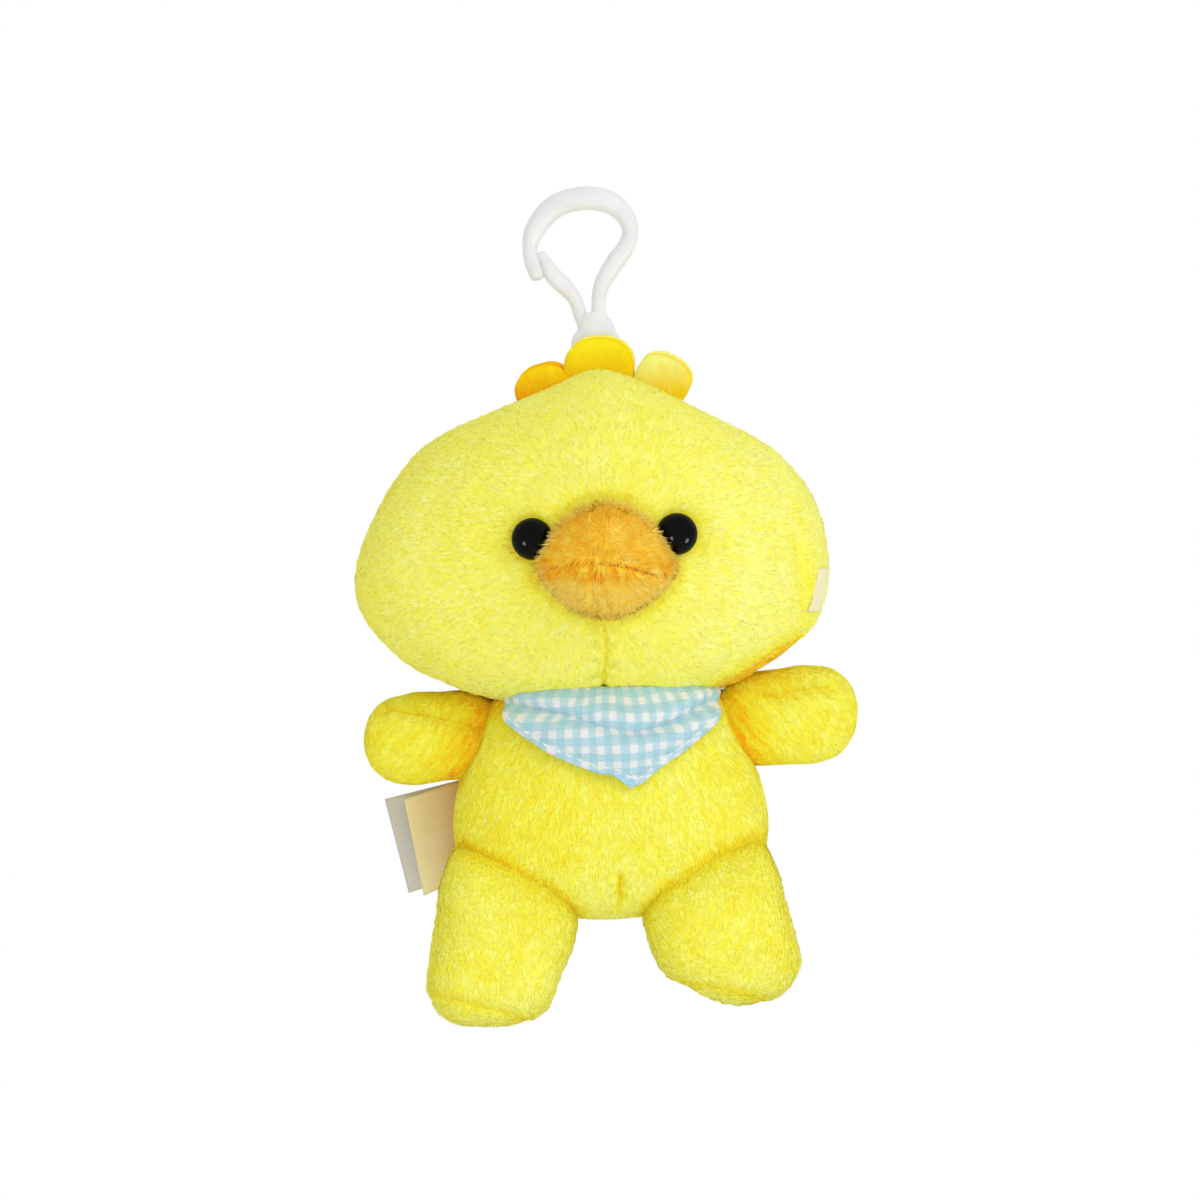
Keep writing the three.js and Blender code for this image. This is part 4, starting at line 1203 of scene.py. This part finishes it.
# The front leaf deepens to gold towards its seam, which is painted shade and painted light thrown
# off the yellow plush; the back leaf is darker towards its seam.
CARE_LABELS = {
    "front": dict(
        near=paint(196, 146, 40), far=paint(244, 228, 172), bow=0.8, lean=3.0, shorter=0.9,
        wider=0.0, slot="label_cream",
    ),
    "back": dict(
        near=paint(180, 170, 146), far=paint(208, 204, 194), bow=1.0, lean=3.8, shorter=1.4,
        wider=1.2, slot="label_grey",
    ),
}
SIDE_LABEL = dict(front=-8, back=0.6, low=72.2, high=79.9, thick=0.4)


def make_label(node, near, far, bow, lean, shorter, wider, slot):
    low, high = (np.array(corner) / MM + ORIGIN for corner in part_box(node))
    size = high - low
    drop = size[2] - shorter
    across, up = np.meshgrid(np.linspace(0, 1, 25), np.linspace(0, 1, 37))
    x = high[0] - (size[0] + wider) * across + lean * (1 - up) * across
    y = low[1] + size[1] * across + bow * np.sin(math.pi * across) * (0.4 + 0.6 * up)
    y = y + 0.5 * np.sin(3 * up + 2 * across) * across
    z = high[2] - drop * (1 - up) + 1.5 - 3.3 * across
    points = stacked(x, y, z)
    tape = label_cloth(node + "_leaf_satin", near, far)
    leaf = add_mesh(node + "_leaf", points, grid_faces(*up.shape), [tape])
    keep_values(leaf, "leaf", stacked(across, up, 0))
    thicken(leaf, 0.22)
    attach(leaf, slot, "labels", [node])


def make_side_label():
    depths = np.linspace(SIDE_LABEL["front"], SIDE_LABEL["back"], 16)
    heights = np.linspace(SIDE_LABEL["low"], SIDE_LABEL["high"], 20)
    depth, height = np.meshgrid(depths, heights)
    start = stacked(HEAD["x"], depth, height)
    under_pile = smooth(depth.ravel(), -6.2, -8)  # the pile lies over its front edge
    out = -0.25 - 0.2 * under_pile + 0.06 * np.sin(height.ravel() * 1.3)
    points = hit(head_form, start, np.array([[1.0, 0.0, 0.0]]), out)
    tape = label_cloth("side_label_satin", paint(253, 250, 158), paint(248, 240, 196))
    piece = add_mesh("head_side_tab", points, grid_faces(*depth.shape), [tape])
    keep_values(piece, "leaf", stacked(-depth / 8, height / 8, 0))
    thicken(piece, SIDE_LABEL["thick"])
    attach(piece, "label_grey", "toy", ["head_side_label"])


for label_name, label_looks in CARE_LABELS.items():
    make_label("care_label_" + label_name, **label_looks)
make_side_label()


# Clip and ribbon

SMOOTHED = 0.13  # what rounding the moulding takes off all round
PARTING_LINE = (0.00016, 0.00004)  # in metres from the moulding's middle plane
MELT = dict(voxel=0.22, rounds=8)
ROUNDING = np.arange(5, 0, -1) / 6 * math.pi / 2  # steps round a rod's end
DEEPER = 1.15  # a thin rod's depth as a share of its width
ROD_CORNERS = 20
RING_CORNERS = 16
RING_STEPS = 96


def milky_plastic():
    made = Nodes(
        "milky_plastic", 0.45, Subsurface_Weight=0.25, Subsurface_Scale=0.002,
        Specular_IOR_Level=0.2,
    )
    made.mottle(4, paint(230, 231, 232), paint(238, 239, 240))
    from_middle = made.work_out("ABSOLUTE", made.axes(made.place())["Y"])
    line = made.share(from_middle, *PARTING_LINE)
    made.bump(made.work_out("ADD", line, made.drift(1.8, 0.5)), 0.08)
    return made.material


def square_to(along):
    """Directions square to a path that lies in the clip's plane."""
    return stacked(-along[:, 2], 0, along[:, 0])


def clip_rod(path, depth_limit, steps, cap=0.6, swell=0.0):
    """A moulded rod with rounded ends along a path of x, z and half thickness."""
    line = curve(path, steps, closed=False)
    centres = at_depth(line, CLIP["y"])
    along = unit(np.gradient(centres, axis=0))
    across = square_to(along)
    half = line[:, 2] + swell
    head = centres[0] - along[0] * (half[0] * cap * np.sin(ROUNDING))[:, None]
    tail = centres[-1] + along[-1] * (half[-1] * cap * np.sin(ROUNDING[::-1]))[:, None]
    centres = np.vstack([head, centres, tail])
    extra = len(ROUNDING)
    across = np.vstack([np.repeat(across[:1], extra, 0), across, np.repeat(across[-1:], extra, 0)])
    half = np.concatenate([half[0] * np.cos(ROUNDING), half, half[-1] * np.cos(ROUNDING[::-1])])
    depth = np.minimum(depth_limit * half / np.maximum(half, 0.9), half * DEEPER)
    return tube(centres, across * half[:, None], -FORWARD * depth[:, None], ROD_CORNERS)


def eye_ring():
    """The closed eye below the trunk: a rod bent into a rounded oblong."""
    turn = np.linspace(0, 2 * math.pi, RING_STEPS + 1)
    power = 2 / EYE_RING["square"]
    turn[-1] = 0
    x = NECK_X + EYE_RING["half_width"] * rounded(np.cos(turn), power)
    z = BAR_Z + EYE_RING["half_height"] * (1 + rounded(np.sin(turn), power))
    centres = stacked(x, CLIP["y"], z)
    ring = centres[:-1]
    along = unit(np.roll(ring, -1, 0) - np.roll(ring, 1, 0))
    half = EYE_RING["rod"] + SMOOTHED
    across = square_to(along) * half
    across = np.vstack([across, across[:1]])
    ups = np.repeat(-FORWARD * half, len(turn), 0)
    points, faces = tube(centres, across, ups, RING_CORNERS, capped=False)
    last = len(points) - RING_CORNERS
    return points[:last], np.where(faces >= last, faces - last, faces)


def on_clip(path):
    return [
        (CLIP["x"] + across * CLIP["width"] / 2, TRUNK_TOP + up * CLIP["height"], half)
        for across, up, half in path
    ]


def make_clip():
    milky = milky_plastic()
    rod = EYE_RING["rod"]
    trunk = [
        (NECK_X, TRUNK_TOP - CLIP["trunk"] - rod, EYE_RING["half_width"] + 0.3),
        (NECK_X, TRUNK_TOP - CLIP["trunk"] + rod / 2, EYE_RING["half_width"] - 0.1),
        (NECK_X / 2, TRUNK_TOP - CLIP["trunk"] / 2, CLIP["trunk_half"] + 0.1),
        (NECK_X / 3, TRUNK_TOP - 0.2, CLIP["trunk_half"]),
    ]
    parts = [
        clip_rod(trunk, CLIP["depth"], 8, cap=0.2, swell=SMOOTHED),
        clip_rod(on_clip(HOOK_PATH), LOOP_DEPTH, 12, swell=SMOOTHED),
        eye_ring(),
    ]
    hook = add_mesh("clip_hook_moulding", *together(parts), [milky])
    melt = hook.modifiers.new("Remesh", "REMESH")
    melt.mode = "VOXEL"
    melt.voxel_size = MELT["voxel"] * MM
    melt.use_smooth_shade = True
    even = hook.modifiers.new("Smooth", "SMOOTH")
    even.factor = 0.5
    even.iterations = MELT["rounds"]
    attach(hook, "clip", "clip", ["clip_hook"])
    gate = add_mesh("clip_gate_moulding", *clip_rod(on_clip(GATE_PATH), CLIP["depth"], 12), [milky])
    attach(gate, "clip", None, ["clip_gate"])
    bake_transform(gate)


def make_ribbon():
    inner = EYE_RING["rod"] + RIBBON["gap"] + RIBBON["thick"] / 2
    bottom = HEAD["z"] + HEAD["height"] / 2 - RIBBON["sewn"]
    turn = np.linspace(0, math.pi, 24)
    rise = np.linspace(bottom, BAR_Z, 12)[:-1]
    y = np.concatenate([0 * rise + inner, inner * np.cos(turn), 0 * rise - inner])[:, None]
    z = np.concatenate([rise, BAR_Z + inner * np.sin(turn), rise[::-1]])[:, None]
    x = np.linspace(-RIBBON["width"] / 2, RIBBON["width"] / 2, 13)
    points = stacked(NECK_X + x, CLIP["y"] + y, z)
    satin = Nodes("ribbon_satin", 0.4, Sheen_Weight=0.3)
    satin.mottle(1.2, paint(238, 226, 120), paint(250, 244, 168))
    satin.bump(satin.noise(0.15, stretch=(0.2, 1, 1)), 0.05)
    faces = grid_faces(len(y), len(x))
    piece = add_mesh("ribbon_loop", points, faces, [satin.material])
    thicken(piece, RIBBON["thick"], 0)
    attach(piece, "ribbon", "toy", ["hanging_ribbon"])


make_clip()
make_ribbon()

washer_plastic = Nodes("washer_plastic", 0.5)
washer_plastic.mottle(2, paint(236, 236, 232), paint(246, 246, 242))
for eye_side in SIDES:
    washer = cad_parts["eye_washer_" + eye_side]
    washer.data.materials.clear()
    washer.data.materials.append(washer_plastic.material)


# Studio

CAMERA = dict(distance=1.6, x=0.0006, z=-0.0703, across=0.216, roll=2.0, sensor=36.0)
FLOOR = dict(drop=300.0, half=3000.0, glow=0.4)  # drop is how far the toy hangs above it
ROOM_LIGHT = 0.8
LAMPS = {
    "key": dict(azimuth=42, elevation=24, distance=0.9, size=(0.5, 0.5), power=1.7),
    "fill": dict(azimuth=0, elevation=-34, distance=0.55, size=(0.5, 0.36), power=0.62),
    "glint_left": dict(
        azimuth=-33, elevation=-18, distance=0.6, size=(0.15, 0.15), power=1.9, glint=True,
    ),
    "glint_right": dict(
        azimuth=48, elevation=-31, distance=0.6, size=(0.16, 0.22), power=3.0, glint=True,
    ),
}


def mix_by_ray(tree, lit, seen, output):
    """Sends lit to the output, but seen to the camera and to gloss and clear things."""
    path = tree.nodes.new("ShaderNodeLightPath")
    ray = path.outputs["Is Camera Ray"]
    for name in ("Is Glossy Ray", "Is Transmission Ray"):
        either = tree.nodes.new("ShaderNodeMath")
        either.operation = "MAXIMUM"
        tree.links.new(ray, either.inputs[0])
        tree.links.new(path.outputs[name], either.inputs[1])
        ray = either.outputs[0]
    mix = tree.nodes.new("ShaderNodeMixShader")
    for number, source in enumerate((ray, lit, seen)):
        tree.links.new(source, mix.inputs[number])
    tree.links.new(mix.outputs[0], tree.nodes[output].inputs["Surface"])


def make_floor():
    corners = np.array([[-1, -1, 0], [1, -1, 0], [1, 1, 0], [-1, 1, 0]])
    points = corners * FLOOR["half"] - np.array([0, 0, FLOOR["drop"]])
    made = Nodes("pale_floor", 0.9, Base_Color=paint(240, 240, 238))
    glow = made.add("ShaderNodeEmission", {"Strength": FLOOR["glow"]})
    plain = made.shader.outputs[0]
    bright = made.add("ShaderNodeAddShader", {0: plain, 1: glow.outputs[0]})
    mix_by_ray(made.tree, plain, bright.outputs[0], "Material Output")
    add_mesh("floor", points, [[0, 1, 2, 3]], [made.material])


def make_world():
    world = bpy.data.worlds.new("studio")
    bpy.context.scene.world = world
    world.use_nodes = True
    tree = world.node_tree
    room = tree.nodes["Background"]
    backdrop = tree.nodes.new("ShaderNodeBackground")
    for node, strength in ((room, ROOM_LIGHT), (backdrop, 1.0)):
        node.inputs["Color"].default_value = (1, 1, 1, 1)
        node.inputs["Strength"].default_value = strength
    mix_by_ray(tree, room.outputs[0], backdrop.outputs[0], "World Output")


def add_softbox(name, azimuth, elevation, distance, size, power, glint=False):
    """An area lamp aimed at the toy's middle. Azimuth 0 is in front, 90 to the +X side.
    A glint is seen only in what is glossy."""
    a, e = math.radians(azimuth), math.radians(elevation)
    away = np.array([math.sin(a) * math.cos(e), -math.cos(a) * math.cos(e), math.sin(e)])
    lamp = bpy.data.lights.new(name, "AREA")
    lamp.shape = "RECTANGLE"
    lamp.size, lamp.size_y = size
    lamp.energy = power
    place = bpy.data.objects.new(name, lamp)
    place.visible_glossy = glint
    place.visible_diffuse = not glint
    place.location = np.array([CAMERA["x"], 0, CAMERA["z"]]) + away * distance
    place.rotation_euler = Vector(-away).to_track_quat("-Z", "Y").to_euler()
    bpy.context.scene.collection.objects.link(place)


def add_camera():
    camera = bpy.data.objects.new("camera", bpy.data.cameras.new("camera"))
    camera.data.sensor_width = CAMERA["sensor"]
    camera.data.lens = CAMERA["sensor"] * CAMERA["distance"] / CAMERA["across"]
    camera.location = (CAMERA["x"], -CAMERA["distance"], CAMERA["z"])
    camera.rotation_euler = (math.pi / 2, math.radians(CAMERA["roll"]), 0)
    bpy.context.scene.collection.objects.link(camera)
    bpy.context.scene.camera = camera


make_floor()
make_world()
for lamp_name, lamp_values in LAMPS.items():
    add_softbox(lamp_name, **lamp_values)
add_camera()
bpy.context.scene.view_settings.view_transform = "Standard"
